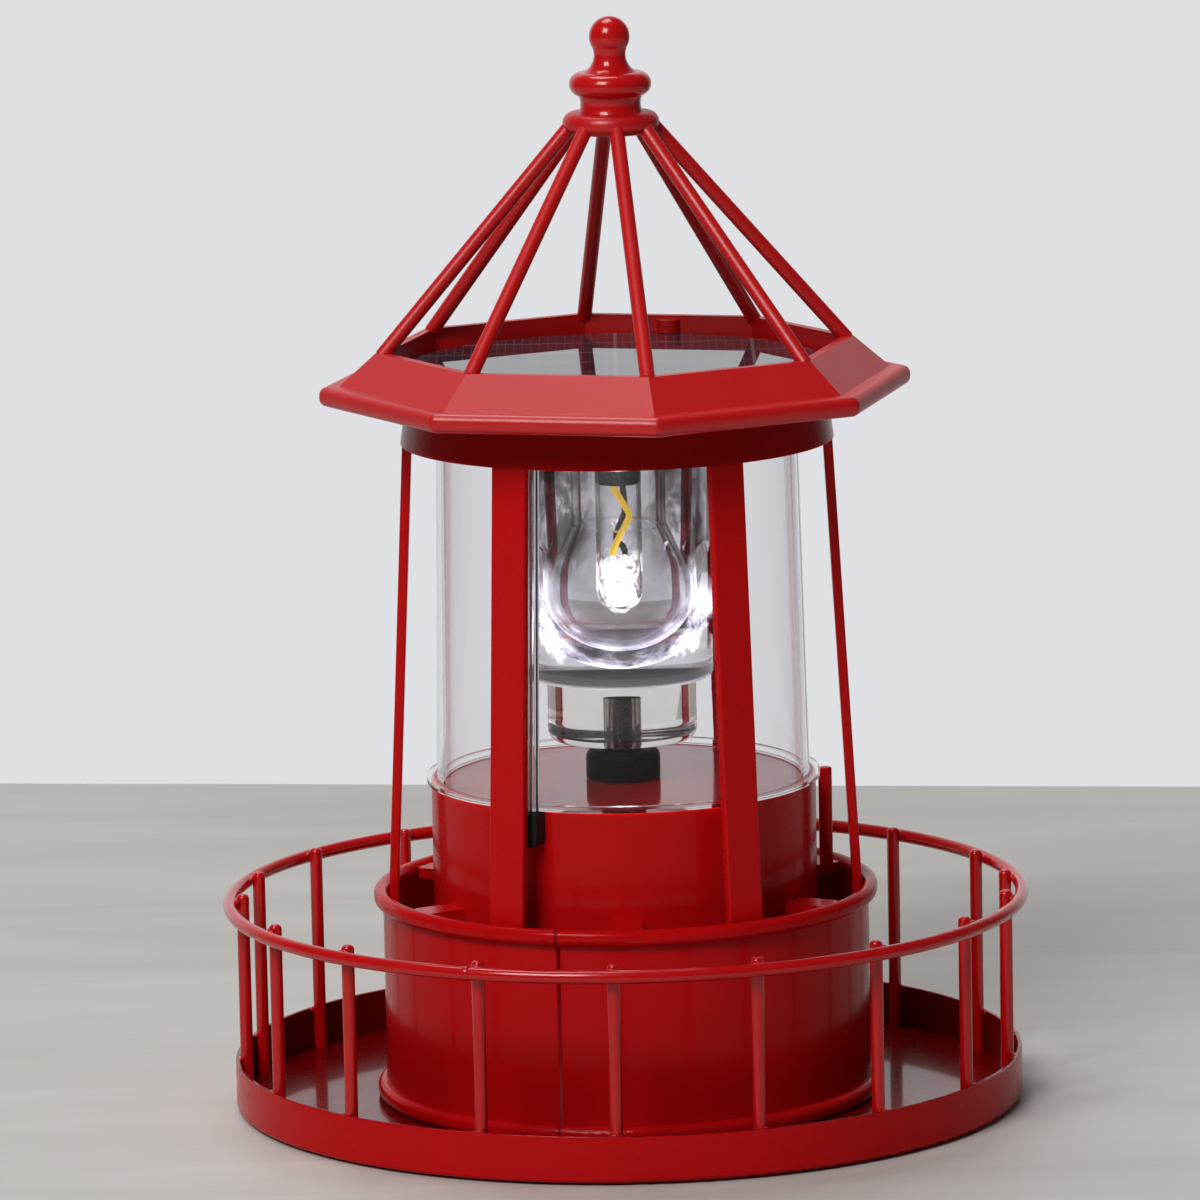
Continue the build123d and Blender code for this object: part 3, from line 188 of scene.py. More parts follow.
def skinned_material(name, relief_depth, relief_strength, finish, **skin_values):
    """Opaque material whose colour, gloss and relief come from the skin group. Finish sets the shader."""
    material, tree, shader = new_material(name)
    surface = add(tree, "Group", node_tree=skin)
    for key, value in skin_values.items():
        surface.inputs[key.replace("_", " ").title()].default_value = value
    bump = add(
        tree, "Bump", {"Strength": relief_strength, "Distance": relief_depth},
        {"Height": surface.outputs["Height"]},
    )
    tree.links.new(surface.outputs["Colour"], shader.inputs["Base Color"])
    tree.links.new(surface.outputs["Roughness"], shader.inputs["Roughness"])
    tree.links.new(bump.outputs["Normal"], shader.inputs["Normal"])
    set_finish(shader, finish)
    return material


def tint(material, share, colour):
    """Blends the colour of a skinned material towards another one by a share."""
    tree, shader = opened(material)
    base = shader.inputs["Base Color"]
    tree.links.new(blend_colours(tree, share, base.links[0].from_socket, colour), base)


def dress(material, *names):
    """Gives CAD nodes a material."""
    for name in names:
        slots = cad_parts[name].data.materials
        slots.clear()
        slots.append(material)


pan_enamel = skinned_material(
    "pan_enamel_painted_shade", relief_depth=0.05 * MM, relief_strength=0.25,
    finish={"Specular IOR Level": 0.04, "Coat Roughness": 0.07, "Coat IOR": 1.32},
    colour=ENAMEL_RED, deep_colour=ENAMEL_DEEP, nib_colour=NIB_PINK, cloud_scale=35.0, grain_scale=420.0,
    nib_scale=95.0, nib_share=0.035, gloss_low=0.2, gloss_high=0.3,
)
pan_tree, pan_shader = opened(pan_enamel)
pan_normal = add(pan_tree, "NewGeometry").outputs["Normal"]
pan_flat = add(pan_tree, "VectorMath", {1: LEVEL_INWARD}, {0: object_point(pan_tree)}, operation="MULTIPLY")
pan_inward = add(pan_tree, "VectorMath", links={0: pan_flat.outputs[0]}, operation="NORMALIZE").outputs[0]
pan_facing = add(pan_tree, "VectorMath", links={0: pan_normal, 1: pan_inward}, operation="DOT_PRODUCT")
pan_floor = straight_ramp(pan_tree, split(pan_tree, pan_normal)["Z"], *FLOOR_LEAN)
pan_wall = straight_ramp(pan_tree, pan_facing.outputs["Value"], *WALL_LEAN)
pan_inside = larger(pan_tree, pan_floor, pan_wall)
# Painted shade: the floor and inner wall of the pan are blended towards a darker red.
pan_painted_shade = add(pan_tree, "Math", {1: PAN_SHADE_SHARE}, {0: pan_inside}, operation="MULTIPLY").outputs[0]
tint(pan_enamel, pan_painted_shade, PAN_SHADE_RED)
pooled = straight_ramp(pan_tree, pan_floor, 0.0, 1.0, *POOLED_COAT)
pan_tree.links.new(pooled, pan_shader.inputs["Coat Weight"])
dress(pan_enamel, "base_pan")

# Balusters: eighteen lengths of round steel wire, spot welded by hand to the inside of the rim.
# Each weld leaves a small lump at the edge of the rim, under the enamel.
LUMP_FACES = 3
LUMP_ROUGHNESS = 0.22
LUMP_SCALE = 900.0
RIM_LUMP = (1.5 * MM, 0.65 * MM, 0.55 * MM)
RIM_LUMP_DROP = 0.3 * MM
BALUSTER_HALF = 1.2 * MM
baluster_names = [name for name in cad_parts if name.startswith("baluster_")]
UP = Vector((0, 0, 1))


def add_lump(mesh, place, along, half_sizes):
    """Adds a weld lump to a mesh: a ball drawn out along a level direction, with an uneven surface."""
    axes = Matrix((along, UP.cross(along), UP)).transposed()
    made = bmesh.ops.create_icosphere(mesh, subdivisions=LUMP_FACES, radius=1.0)
    for vertex in made["verts"]:
        stretched = Vector([value * half for value, half in zip(vertex.co, half_sizes)])
        point = place + axes @ stretched
        uneven = 1 + LUMP_ROUGHNESS * noise.noise(point * LUMP_SCALE)
        vertex.co = place + axes @ (stretched * uneven)


def finish_piece(name, mesh, material, body):
    """Turns a mesh into a smooth piece that rides on a body."""
    data = bpy.data.meshes.new(name)
    bmesh.ops.recalc_face_normals(mesh, faces=mesh.faces)
    for face in mesh.faces:
        face.smooth = True
    mesh.to_mesh(data)
    mesh.free()
    data.materials.append(material)
    piece = bpy.data.objects.new(name, data)
    bpy.context.scene.collection.objects.link(piece)
    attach(piece, body)


def outward(name):
    """Distance from the middle axis, outward direction and sideways direction of an upright CAD node."""
    low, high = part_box(name)
    flat = ((low + high) / 2).to_2d()
    away = Vector((flat.x, flat.y, 0)).normalized()
    return flat.length, away, Vector((-away.y, away.x, 0))


def weld_row(mesh, height, half_sizes):
    """Adds one lump at the outside of each baluster, at a height."""
    for name in baluster_names:
        distance, away, across = outward(name)
        add_lump(mesh, away * (distance + BALUSTER_HALF) + UP * height, across, half_sizes)


wire_enamel = skinned_material(
    "wire_enamel", relief_depth=0.05 * MM, relief_strength=0.2,
    finish={"Specular IOR Level": 0.2, "Coat Weight": 0.5, "Coat Roughness": 0.08},
    colour=ENAMEL_RED, deep_colour=ENAMEL_DEEP, nib_colour=NIB_PINK, cloud_scale=60.0, grain_scale=650.0,
    nib_scale=140.0, nib_share=0.04, gloss_low=0.17, gloss_high=0.26,
)
dress(wire_enamel, *baluster_names)
rim_welds = bmesh.new()
weld_row(rim_welds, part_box("base_pan")[1].z - RIM_LUMP_DROP, RIM_LUMP)
finish_piece("rim_welds", rim_welds, wire_enamel, "lamp")

# Gallery rail: one length of steel wire bent to a ring and welded to the outside of the balusters.
# Its two ends meet at the left front, where the weld stands a little proud.
RAIL_LUMP = (1.7 * MM, 0.6 * MM, 0.75 * MM)
RAIL_LUMP_RISE = 0.5 * MM
RAIL_JOINT = (1.5 * MM, 1.36 * MM, 1.36 * MM)
RAIL_JOINT_ASIDE = 1.4 * MM
JOINT_BALUSTER = "baluster_18"
dress(wire_enamel, "gallery_rail")
rail_low, rail_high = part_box("gallery_rail")
rail_height = (rail_low.z + rail_high.z) / 2
rail_radius = rail_high.x - (rail_high.z - rail_low.z) / 2
rail_welds = bmesh.new()
weld_row(rail_welds, rail_height + RAIL_LUMP_RISE, RAIL_LUMP)
joint_away, joint_across = outward(JOINT_BALUSTER)[1:]
joint_place = joint_away * rail_radius - joint_across * RAIL_JOINT_ASIDE + UP * rail_height
add_lump(rail_welds, joint_place, joint_across, RAIL_JOINT)
finish_piece("rail_welds", rail_welds, wire_enamel, "lamp")

# Drum: steel sheet rolled to a tube, with both edges curled outwards to a bead.
# The sheet is joined by a flat folded seam at the left front, which the enamel rounds over.
SEAM_AZIMUTH = math.radians(-16.0)
SEAM_HALF_WIDTH = 0.35 * MM
SEAM_RISE = 0.05 * MM
SEAM_SINK = 0.02 * MM
SEAM_RED = (0.3, 0.002, 0.003, 1.0)
SEAM_DEEP = (0.2, 0.0015, 0.002, 1.0)
SEAM_ACROSS = ((-1.0, 0.0), (-0.85, 0.75), (-0.6, 1.0), (0.0, 1.05), (0.6, 1.0), (0.85, 0.75), (1.0, 0.0))
BEAD_HEIGHT = 3.2 * MM
BEAD_HALF_WIDTH = 1.35 * MM
BEAD_REACH = 1.7 * MM
BEAD_STEPS = 8
BEAD_FOOT_TURN = math.pi / 3
BEAD_TOP_TURN = math.pi / 2
enamel = skinned_material(
    "red_enamel", relief_depth=0.05 * MM, relief_strength=0.25,
    finish={"Specular IOR Level": 0.04, "Coat Weight": 0.25, "Coat Roughness": 0.1, "Coat IOR": 1.28},
    colour=ENAMEL_RED, deep_colour=ENAMEL_DEEP, nib_colour=NIB_PINK, cloud_scale=35.0, grain_scale=650.0,
    nib_scale=95.0, nib_share=0.035, gloss_low=0.17, gloss_high=0.28,
)
seam_enamel = skinned_material(
    "seam_enamel", relief_depth=0.03 * MM, relief_strength=0.2, finish={"Specular IOR Level": 0.1},
    colour=SEAM_RED, deep_colour=SEAM_DEEP, nib_colour=NIB_PINK, cloud_scale=60.0, grain_scale=650.0,
    nib_scale=95.0, nib_share=0.02, gloss_low=0.45, gloss_high=0.6,
)
dress(enamel, "drum")
drum_low, drum_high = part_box("drum")
drum_radius = drum_high.x - BEAD_REACH
bead_middle = drum_high.x - BEAD_HALF_WIDTH
bead_straight = BEAD_HEIGHT / 2 - BEAD_HALF_WIDTH


def bead_line(middle, first, last):
    """Points up the outside of a bead, each with the direction that the sheet faces there."""
    line = []
    for step in range(BEAD_STEPS + 1):
        turn = first + (last - first) * step / BEAD_STEPS
        facing = (math.cos(turn), math.sin(turn))
        radius = bead_middle + BEAD_HALF_WIDTH * math.cos(turn)
        height = middle + BEAD_HALF_WIDTH * math.sin(turn) + math.copysign(bead_straight, turn)
        line.append(((radius, height), facing))
    return line


wall_ends = (drum_low.z + BEAD_HEIGHT, drum_high.z - BEAD_HEIGHT)
seam_line = bead_line(drum_low.z + BEAD_HEIGHT / 2, -BEAD_FOOT_TURN, BEAD_FOOT_TURN)
seam_line += [((drum_radius, height), (1, 0)) for height in wall_ends]
seam_line += bead_line(drum_high.z - BEAD_HEIGHT / 2, -BEAD_FOOT_TURN, BEAD_TOP_TURN)
seam = bmesh.new()
seam_rows = []
for (radius, height), (lean_out, lean_up) in seam_line:
    row = []
    for share, rise in SEAM_ACROSS:
        lift = SEAM_RISE * rise - SEAM_SINK
        angle = SEAM_AZIMUTH + share * SEAM_HALF_WIDTH / radius
        out = radius + lean_out * lift
        row.append(seam.verts.new((out * math.sin(angle), -out * math.cos(angle), height + lean_up * lift)))
    seam_rows.append(row)
for lower, upper in zip(seam_rows, seam_rows[1:]):
    for index in range(len(SEAM_ACROSS) - 1):
        seam.faces.new((lower[index], lower[index + 1], upper[index + 1], upper[index]))
finish_piece("drum_seam", seam, seam_enamel, "lamp")

# Cup of the works, with its locating peg: one red moulding of a tough gloss plastic, screwed down on the pan.
# The plate that closes it is moulded in the same plastic with a polished face, and lies on a ledge; its red
# is painted darker than the cup's, as shade.
MOULDING_RED = (0.58, 0.0042, 0.0055, 1.0)
MOULDING_DEEP = (0.51, 0.003, 0.004, 1.0)
PLATE_SHADE_RED = (0.26, 0.004, 0.006, 1.0)
PLATE_SHADE_DEEP = (0.22, 0.003, 0.005, 1.0)


def gloss_moulding(name):
    """Red plastic as it leaves a smooth mould."""
    return skinned_material(
        name, relief_depth=0.03 * MM, relief_strength=0.08,
        finish={"Specular IOR Level": 0.05, "Coat Weight": 0.28, "Coat Roughness": 0.08, "Coat IOR": 1.3},
        colour=MOULDING_RED, deep_colour=MOULDING_DEEP, nib_colour=NIB_PINK, cloud_scale=22.0,
        grain_scale=1500.0, nib_scale=70.0, nib_share=0.02, gloss_low=0.24, gloss_high=0.34,
    )


moulding = gloss_moulding("red_moulding")
# The plate's darker red is painted shade, not a different plastic.
polished = skinned_material(
    "red_polished_face", relief_depth=0.02 * MM, relief_strength=0.15,
    finish={"Specular IOR Level": 0.3, "Coat Weight": 0.4, "Coat Roughness": 0.06},
    colour=PLATE_SHADE_RED, deep_colour=PLATE_SHADE_DEEP, nib_colour=NIB_PINK, cloud_scale=22.0, grain_scale=900.0,
    nib_scale=160.0, nib_share=0.08, gloss_low=0.1, gloss_high=0.17,
)
dress(moulding, "cup", "locating_peg")
dress(polished, "top_plate")

# Screws, contacts and shafts: bright plated steel, turned or stamped, with fine tool marks.
# The bearing bushes and the motor's pinion are turned bronze.
STEEL_GREY = (0.56, 0.56, 0.55, 1.0)
STEEL_DEEP = (0.42, 0.42, 0.43, 1.0)
BRONZE_LIGHT = (0.62, 0.4, 0.17, 1.0)
BRONZE_DEEP = (0.42, 0.24, 0.09, 1.0)
BARE_METAL = {"Specular IOR Level": 0.5, "Metallic": 1.0}
steel = skinned_material(
    "plated_steel", relief_depth=0.02 * MM, relief_strength=0.2, finish=BARE_METAL,
    colour=STEEL_GREY, deep_colour=STEEL_DEEP, nib_colour=STEEL_DEEP, cloud_scale=180.0, grain_scale=2600.0,
    nib_scale=300.0, nib_share=0.04, gloss_low=0.22, gloss_high=0.4,
)
bronze = skinned_material(
    "turned_bronze", relief_depth=0.02 * MM, relief_strength=0.2, finish=BARE_METAL,
    colour=BRONZE_LIGHT, deep_colour=BRONZE_DEEP, nib_colour=BRONZE_DEEP, cloud_scale=200.0,
    grain_scale=2600.0, nib_scale=300.0, nib_share=0.05, gloss_low=0.25, gloss_high=0.42,
)
dress(steel, "base_screws", "battery_door_screw", "battery_contacts", "gear_plate_screws", "motor_screws")
dress(steel, "motor", "motor_shaft", "idler_axle", "output_shaft")
dress(bronze, "shaft_bushes", "motor_pinion")

# Battery door and slide switch in the floor of the cup: satin black mouldings.
# The door drops into its opening and is held by one screw.
BLACK = (0.006, 0.006, 0.0065, 1.0)
BLACK_DEEP = (0.004, 0.004, 0.0045, 1.0)
BLACK_DUST = (0.02, 0.02, 0.02, 1.0)
black_moulding = skinned_material(
    "black_moulding", relief_depth=0.04 * MM, relief_strength=0.005, finish={"Specular IOR Level": 0.05},
    colour=BLACK, deep_colour=BLACK_DEEP, nib_colour=BLACK_DUST, cloud_scale=60.0, grain_scale=5200.0,
    nib_scale=220.0, nib_share=0.06, gloss_low=0.32, gloss_high=0.4,
)
dress(black_moulding, "battery_door", "switch_body", "switch_knob")

# Cell: a rechargeable cell in a plain shrink sleeve, with a pale band at its head and a bare metal end.
# It lies across the cup between two plated contacts.
SLEEVE_GREEN = (0.03, 0.2, 0.07, 1.0)
SLEEVE_DEEP = (0.02, 0.15, 0.05, 1.0)
SLEEVE_PALE = (0.62, 0.64, 0.6, 1.0)
SLEEVE_BAND = (12.0 * MM, 12.4 * MM)
SLEEVE_END = 24.0 * MM
SLEEVE_SKIN = {
    "Colour": SLEEVE_GREEN, "Deep Colour": SLEEVE_DEEP, "Gloss Low": 0.2, "Gloss High": 0.34,
    "Cloud Scale": 120.0, "Grain Scale": 1800.0,
}
sleeve, sleeve_tree, sleeve_shader = new_material("cell_sleeve")
sleeve_along = split(sleeve_tree, object_point(sleeve_tree))["X"]
sleeve_head = straight_ramp(sleeve_tree, sleeve_along, *SLEEVE_BAND)
bare_end = add(sleeve_tree, "Math", {1: SLEEVE_END}, {0: sleeve_along}, operation="GREATER_THAN").outputs[0]
sleeve_marks = add(sleeve_tree, "Group", SLEEVE_SKIN, node_tree=skin).outputs
banded = blend_colours(sleeve_tree, sleeve_head, sleeve_marks["Colour"], SLEEVE_PALE)
ended = blend_colours(sleeve_tree, bare_end, banded, STEEL_GREY)
sleeve_tree.links.new(ended, sleeve_shader.inputs["Base Color"])
sleeve_tree.links.new(bare_end, sleeve_shader.inputs["Metallic"])
sleeve_tree.links.new(sleeve_marks["Roughness"], sleeve_shader.inputs["Roughness"])
dress(sleeve, "battery")

# Circuit board: fibreglass board with green solder mask over copper tracks, and dark moulded components.
# It rests on the end walls of the battery bay.
MASK_GREEN = (0.012, 0.1, 0.035, 1.0)
TRACK_GREEN = (0.03, 0.17, 0.06, 1.0)
COMPONENT_DARK = (0.02, 0.02, 0.024, 1.0)
COMPONENTS_FROM = 25.3 * MM
TRACK_LAYOUT = {
    "Color1": MASK_GREEN, "Color2": MASK_GREEN, "Mortar": TRACK_GREEN, "Scale": 1.0, "Mortar Size": 0.25 * MM,
    "Brick Width": 5.0 * MM, "Row Height": 1.7 * MM,
}
board, board_tree, board_shader = new_material("solder_mask")
board_point = object_point(board_tree)
tracks = add(board_tree, "TexBrick", TRACK_LAYOUT, {"Vector": board_point}).outputs
board_height = split(board_tree, board_point)["Z"]
raised = add(board_tree, "Math", {1: COMPONENTS_FROM}, {0: board_height}, operation="GREATER_THAN").outputs[0]
board_colour = blend_colours(board_tree, raised, tracks["Color"], COMPONENT_DARK)
board_bump = add(board_tree, "Bump", {"Strength": 0.4, "Distance": 0.05 * MM}, {"Height": tracks["Fac"]})
board_tree.links.new(board_colour, board_shader.inputs["Base Color"])
board_tree.links.new(board_bump.outputs["Normal"], board_shader.inputs["Normal"])
set_finish(board_shader, {"Roughness": 0.32})
dress(board, "circuit_board")

# Gear plate and gears: natural nylon mouldings, cream coloured and a little waxy.
# The plate is screwed to the columns of the cup, with the motor under it and the gears above it.
NYLON = (0.72, 0.7, 0.64, 1.0)
NYLON_DEEP = (0.64, 0.61, 0.54, 1.0)
nylon = skinned_material(
    "natural_nylon", relief_depth=0.03 * MM, relief_strength=0.25, finish={"Specular IOR Level": 0.5},
    colour=NYLON, deep_colour=NYLON_DEEP, nib_colour=NYLON_DEEP, cloud_scale=90.0, grain_scale=1600.0,
    nib_scale=200.0, nib_share=0.03, gloss_low=0.34, gloss_high=0.48,
)
dress(nylon, "gear_plate", "idler_gear", "output_gear")

# Coupling: a round hub in the same black moulding as the battery door.
# It is pressed on the output shaft above the top plate, and carries the lens round with it.
dress(black_moulding, "coupling")

# Lens carrier and beam lens: thick clear acrylic, polished in the mould, with slight flow marks.
# The carrier is pressed on the coupling, and the lens is cemented to its rim and turns round the lamp.
# The lamp's light in the lens is painted on as a glow under the globe and at its sides, in bright ragged
# patches.
ACRYLIC_TINT = (0.87, 0.86, 0.88, 1.0)
ACRYLIC_INDEX = 1.47
CARRIER_TINT = (0.9, 0.875, 0.85, 1.0)
LENS_INDEX = 1.3
LENS_PAINTED_SHADE = (0.24, 0.215, 0.22, 1.0)
STREAK_NOISE = {"Scale": 70.0, "Detail": 5.0, "Distortion": 0.6}
STREAK_SPAN = (0.45, 0.8)
UNLIT = (0.0, 0.0, 0.0, 1.0)
GLOW_WHITE = (1.0, 0.98, 1.0, 1.0)
GLOW_VIOLET = (0.5, 0.42, 0.78, 1.0)
GLOW_POWER = 3.6
GLOW_EDGE = 2.6
GLOW_FOOT = (-1.4 * MM, -0.5 * MM)
GLOW_TOP = (21.0 * MM, 13.0 * MM)
SEAT_REACH = (2.3 * MM, 1.5 * MM)
RIPPLE_NOISE = {"Scale": 190.0, "Detail": 5.0, "Roughness": 0.65}
RIPPLE_SPAN = (0.4, 0.56)
RIPPLE_LOW = 0.08
MOTTLE_NOISE = {"Scale": 95.0, "Detail": 4.0, "Roughness": 0.6, "Distortion": 0.9}
MOTTLE_SPAN = (0.44, 0.58)
SHADE_RISE = (15.0 * MM, 22.0 * MM)
SHADE_ASIDE = (4.0 * MM, 9.0 * MM)
FROST_RISE = (0.5 * MM, -1.2 * MM)
FROST_ROUGHNESS = 0.4
GLINT_SPAN = (0.33, 0.28)
GLINT_POWER = 0.5
CLOUD_PLANE = (1.0, 0.0, 1.0)
CLOUD_POWER = 0.5
CLOUD_RISE = 2.0 * MM
CLOUD_ASIDE = (6.0 * MM, 12.0 * MM)
CLOUD_REACH = (-1.0 * MM, 5.0 * MM)
CLOUD_INNER = (0.2 * MM, 1.0 * MM)
CLOUD_RAGGED = 4.0 * MM
CLOUD_FADE = 1.2 * MM
CLOUD_TOP = (4.0 * MM, -2.0 * MM)
CLOUD_FRONT = (-1.5 * MM, -5.0 * MM)


def clear_material(name, tint_colour, index, smear):
    """See-through material. Light that only casts a shadow goes straight through it."""
    material, tree, shader = new_material(name)
    streaks = add(tree, "TexNoise", STREAK_NOISE, {"Vector": object_point(tree)}).outputs["Fac"]
    rough = straight_ramp(tree, streaks, *STREAK_SPAN, high=smear)
    wave = add(tree, "Bump", {"Strength": 0.12, "Distance": 0.1 * MM}, {"Height": streaks})
    tree.links.new(rough, shader.inputs["Roughness"])
    tree.links.new(wave.outputs["Normal"], shader.inputs["Normal"])
    set_finish(shader, {"Base Color": tint_colour, "Transmission Weight": 1.0, "IOR": index})
    passing = add(tree, "BsdfTransparent", {"Color": tint_colour})
    shadow_ray = add(tree, "LightPath").outputs["Is Shadow Ray"]
    chosen = add(tree, "MixShader", links={0: shadow_ray, 1: shader.outputs[0], 2: passing.outputs[0]})
    tree.links.new(chosen.outputs[0], tree.nodes["Material Output"].inputs["Surface"])
    return material


acrylic = clear_material("clear_acrylic", CARRIER_TINT, ACRYLIC_INDEX, smear=0.02)
dress(acrylic, "lens_carrier")
globe_low, globe_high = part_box("bulb_globe")
globe_foot = globe_low.z
globe_radius = (globe_high.x - globe_low.x) / 2
globe_middle = globe_foot + globe_radius
lit = clear_material("lit_acrylic", ACRYLIC_TINT, LENS_INDEX, smear=0.05)
lit_tree, lit_shader = opened(lit)
lit_point = object_point(lit_tree)
lit_place = split(lit_tree, lit_point)
lit_aside = add(lit_tree, "Math", links={0: lit_place["X"]}, operation="ABSOLUTE").outputs[0]
ripples = add(lit_tree, "TexNoise", RIPPLE_NOISE, {"Vector": lit_point}).outputs["Fac"]
mottle = add(lit_tree, "TexNoise", MOTTLE_NOISE, {"Vector": lit_point}).outputs["Fac"]
ripple = straight_ramp(lit_tree, ripples, *RIPPLE_SPAN, low=RIPPLE_LOW)


def lens_height(above, start_end):
    """Share of the lens that lies past a height, eased between two heights over a given one."""
    start, end = start_end
    return soft_ramp(lit_tree, lit_place["Z"], above + start, above + end)


from_globe = add(lit_tree, "VectorMath", {1: (0.0, 0.0, globe_middle)}, {0: lit_point}, operation="DISTANCE")
seat = soft_ramp(
    lit_tree, from_globe.outputs["Value"], globe_radius + SEAT_REACH[0], globe_radius + SEAT_REACH[1]
)
lit_band = times(lit_tree, lens_height(globe_foot, GLOW_FOOT), lens_height(globe_foot, GLOW_TOP))
lit_zone = times(lit_tree, lit_band, seat)
facing = add(lit_tree, "LayerWeight").outputs["Facing"]
edge = add(lit_tree, "Math", {1: GLOW_EDGE}, {0: facing}, operation="POWER").outputs[0]
# Painted glow: a bright crescent at the edges of the lens round the globe's seat.
crescent = times(lit_tree, times(lit_tree, edge, ripple), lit_zone)
upper_sides = times(
    lit_tree, lens_height(globe_foot, SHADE_RISE), soft_ramp(lit_tree, lit_aside, *SHADE_ASIDE)
)
# Painted shade: mottled dark patches blended into the lens colour at its upper sides.
painted_shade_patches = times(lit_tree, soft_ramp(lit_tree, mottle, *MOTTLE_SPAN), upper_sides)
# Painted highlights: small glints of emission at the upper sides of the lens.
glint = times(lit_tree, soft_ramp(lit_tree, mottle, *GLINT_SPAN, high=GLINT_POWER), upper_sides)
flat_point = add(lit_tree, "VectorMath", {1: CLOUD_PLANE}, {0: lit_point}, operation="MULTIPLY").outputs[0]
flat_reach = add(
    lit_tree, "VectorMath", {1: (0.0, 0.0, globe_middle + CLOUD_RISE)}, {0: flat_point}, operation="DISTANCE"
).outputs["Value"]
cloud_reach = soft_ramp(
    lit_tree, lit_aside, *CLOUD_ASIDE, low=globe_radius + CLOUD_REACH[0], high=globe_radius + CLOUD_REACH[1]
)
cloud_inner = soft_ramp(lit_tree, flat_reach, globe_radius + CLOUD_INNER[0], globe_radius + CLOUD_INNER[1])
cloud_ragged = add(
    lit_tree, "Math", {1: CLOUD_RAGGED, 2: -CLOUD_RAGGED / 2}, {0: ripples}, operation="MULTIPLY_ADD"
).outputs[0]
cloud_edge = add(lit_tree, "Math", links={0: cloud_reach, 1: cloud_ragged}, operation="ADD").outputs[0]
cloud_left = add(lit_tree, "Math", links={0: cloud_edge, 1: flat_reach}, operation="SUBTRACT").outputs[0]
cloud_outer = soft_ramp(lit_tree, cloud_left, 0.0, CLOUD_FADE, high=CLOUD_POWER)
cloud_front = soft_ramp(lit_tree, lit_place["Y"], *CLOUD_FRONT)
cloud_side = times(lit_tree, lens_height(globe_middle, CLOUD_TOP), cloud_front)
cloud_shape = times(lit_tree, times(lit_tree, cloud_inner, cloud_outer), cloud_side)
# Painted glow: a ragged cloud of light at either side of the globe.
cloud_glow = times(lit_tree, cloud_shape, ripple)
glow = larger(lit_tree, larger(lit_tree, crescent, glint), cloud_glow)
glow_tint = blend_colours(lit_tree, ripples, GLOW_VIOLET, GLOW_WHITE)
glow_colour = blend_colours(lit_tree, glow, UNLIT, glow_tint)
lens_shaded_tint = blend_colours(lit_tree, painted_shade_patches, ACRYLIC_TINT, LENS_PAINTED_SHADE)
frost = straight_ramp(
    lit_tree, lit_place["Z"], globe_foot + FROST_RISE[0], globe_foot + FROST_RISE[1], high=FROST_ROUGHNESS
)
frosted = larger(lit_tree, frost, lit_shader.inputs["Roughness"].links[0].from_socket)
lit_tree.links.new(lens_shaded_tint, lit_shader.inputs["Base Color"])
lit_tree.links.new(frosted, lit_shader.inputs["Roughness"])
lit_tree.links.new(glow_colour, lit_shader.inputs["Emission Color"])
set_finish(lit_shader, {"Emission Strength": GLOW_POWER})
dress(lit, "beam_lens")

# Lamp in the lens: a blown clear globe and a clear tube, both hung from the ceiling, with an LED in the tube.
# The LED is cast in clear epoxy and shines white; patches of the tube's end get a painted glow of its light.
GLASS_TINT = (0.945, 0.945, 0.95, 1.0)
GLASS_INDEX = 1.45
TUBE_GLOW = 3.0
TUBE_LIT = (12.0 * MM, 7.0 * MM)
TUBE_PATCH_NOISE = {"Scale": 300.0, "Detail": 3.0, "Distortion": 1.2}
TUBE_PATCH_SPAN = (0.54, 0.64)
LED_TINT = (0.86, 0.84, 1.0, 1.0)
LED_DARK = (0.012, 0.011, 0.016, 1.0)
LED_POWER = 14.0
LED_PATCH_SPAN = (0.38, 0.46)
lamp_glass = clear_material("blown_glass", GLASS_TINT, GLASS_INDEX, smear=0.03)
dress(lamp_glass, "bulb_globe")
tube = clear_material("lit_tube", GLASS_TINT, GLASS_INDEX, smear=0.03)
tube_tree, tube_shader = opened(tube)
tube_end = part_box("led_tube")[0].z
tube_point = object_point(tube_tree)
tube_height = split(tube_tree, tube_point)["Z"]
# Painted glow: ragged patches near the tube's closed end give off white light.
tube_zone = soft_ramp(tube_tree, tube_height, tube_end + TUBE_LIT[0], tube_end + TUBE_LIT[1])
tube_patches = add(tube_tree, "TexNoise", TUBE_PATCH_NOISE, {"Vector": tube_point}).outputs["Fac"]
tube_patch = soft_ramp(tube_tree, tube_patches, *TUBE_PATCH_SPAN)
tube_colour = blend_colours(tube_tree, times(tube_tree, tube_zone, tube_patch), UNLIT, GLOW_WHITE)
tube_tree.links.new(tube_colour, tube_shader.inputs["Emission Color"])
set_finish(tube_shader, {"Emission Strength": TUBE_GLOW})
dress(tube, "led_tube")
led, led_tree, led_shader = new_material("led_epoxy")
led_spots = add(led_tree, "TexNoise", {"Scale": 420.0, "Detail": 2.0}, {"Vector": object_point(led_tree)})
led_patch = soft_ramp(led_tree, led_spots.outputs["Fac"], *LED_PATCH_SPAN)
led_colour = blend_colours(led_tree, led_patch, LED_DARK, GLOW_WHITE)
led_tree.links.new(led_colour, led_shader.inputs["Emission Color"])
set_finish(led_shader, {"Emission Strength": LED_POWER, "Base Color": LED_TINT, "Roughness": 0.12})
dress(led, "led")

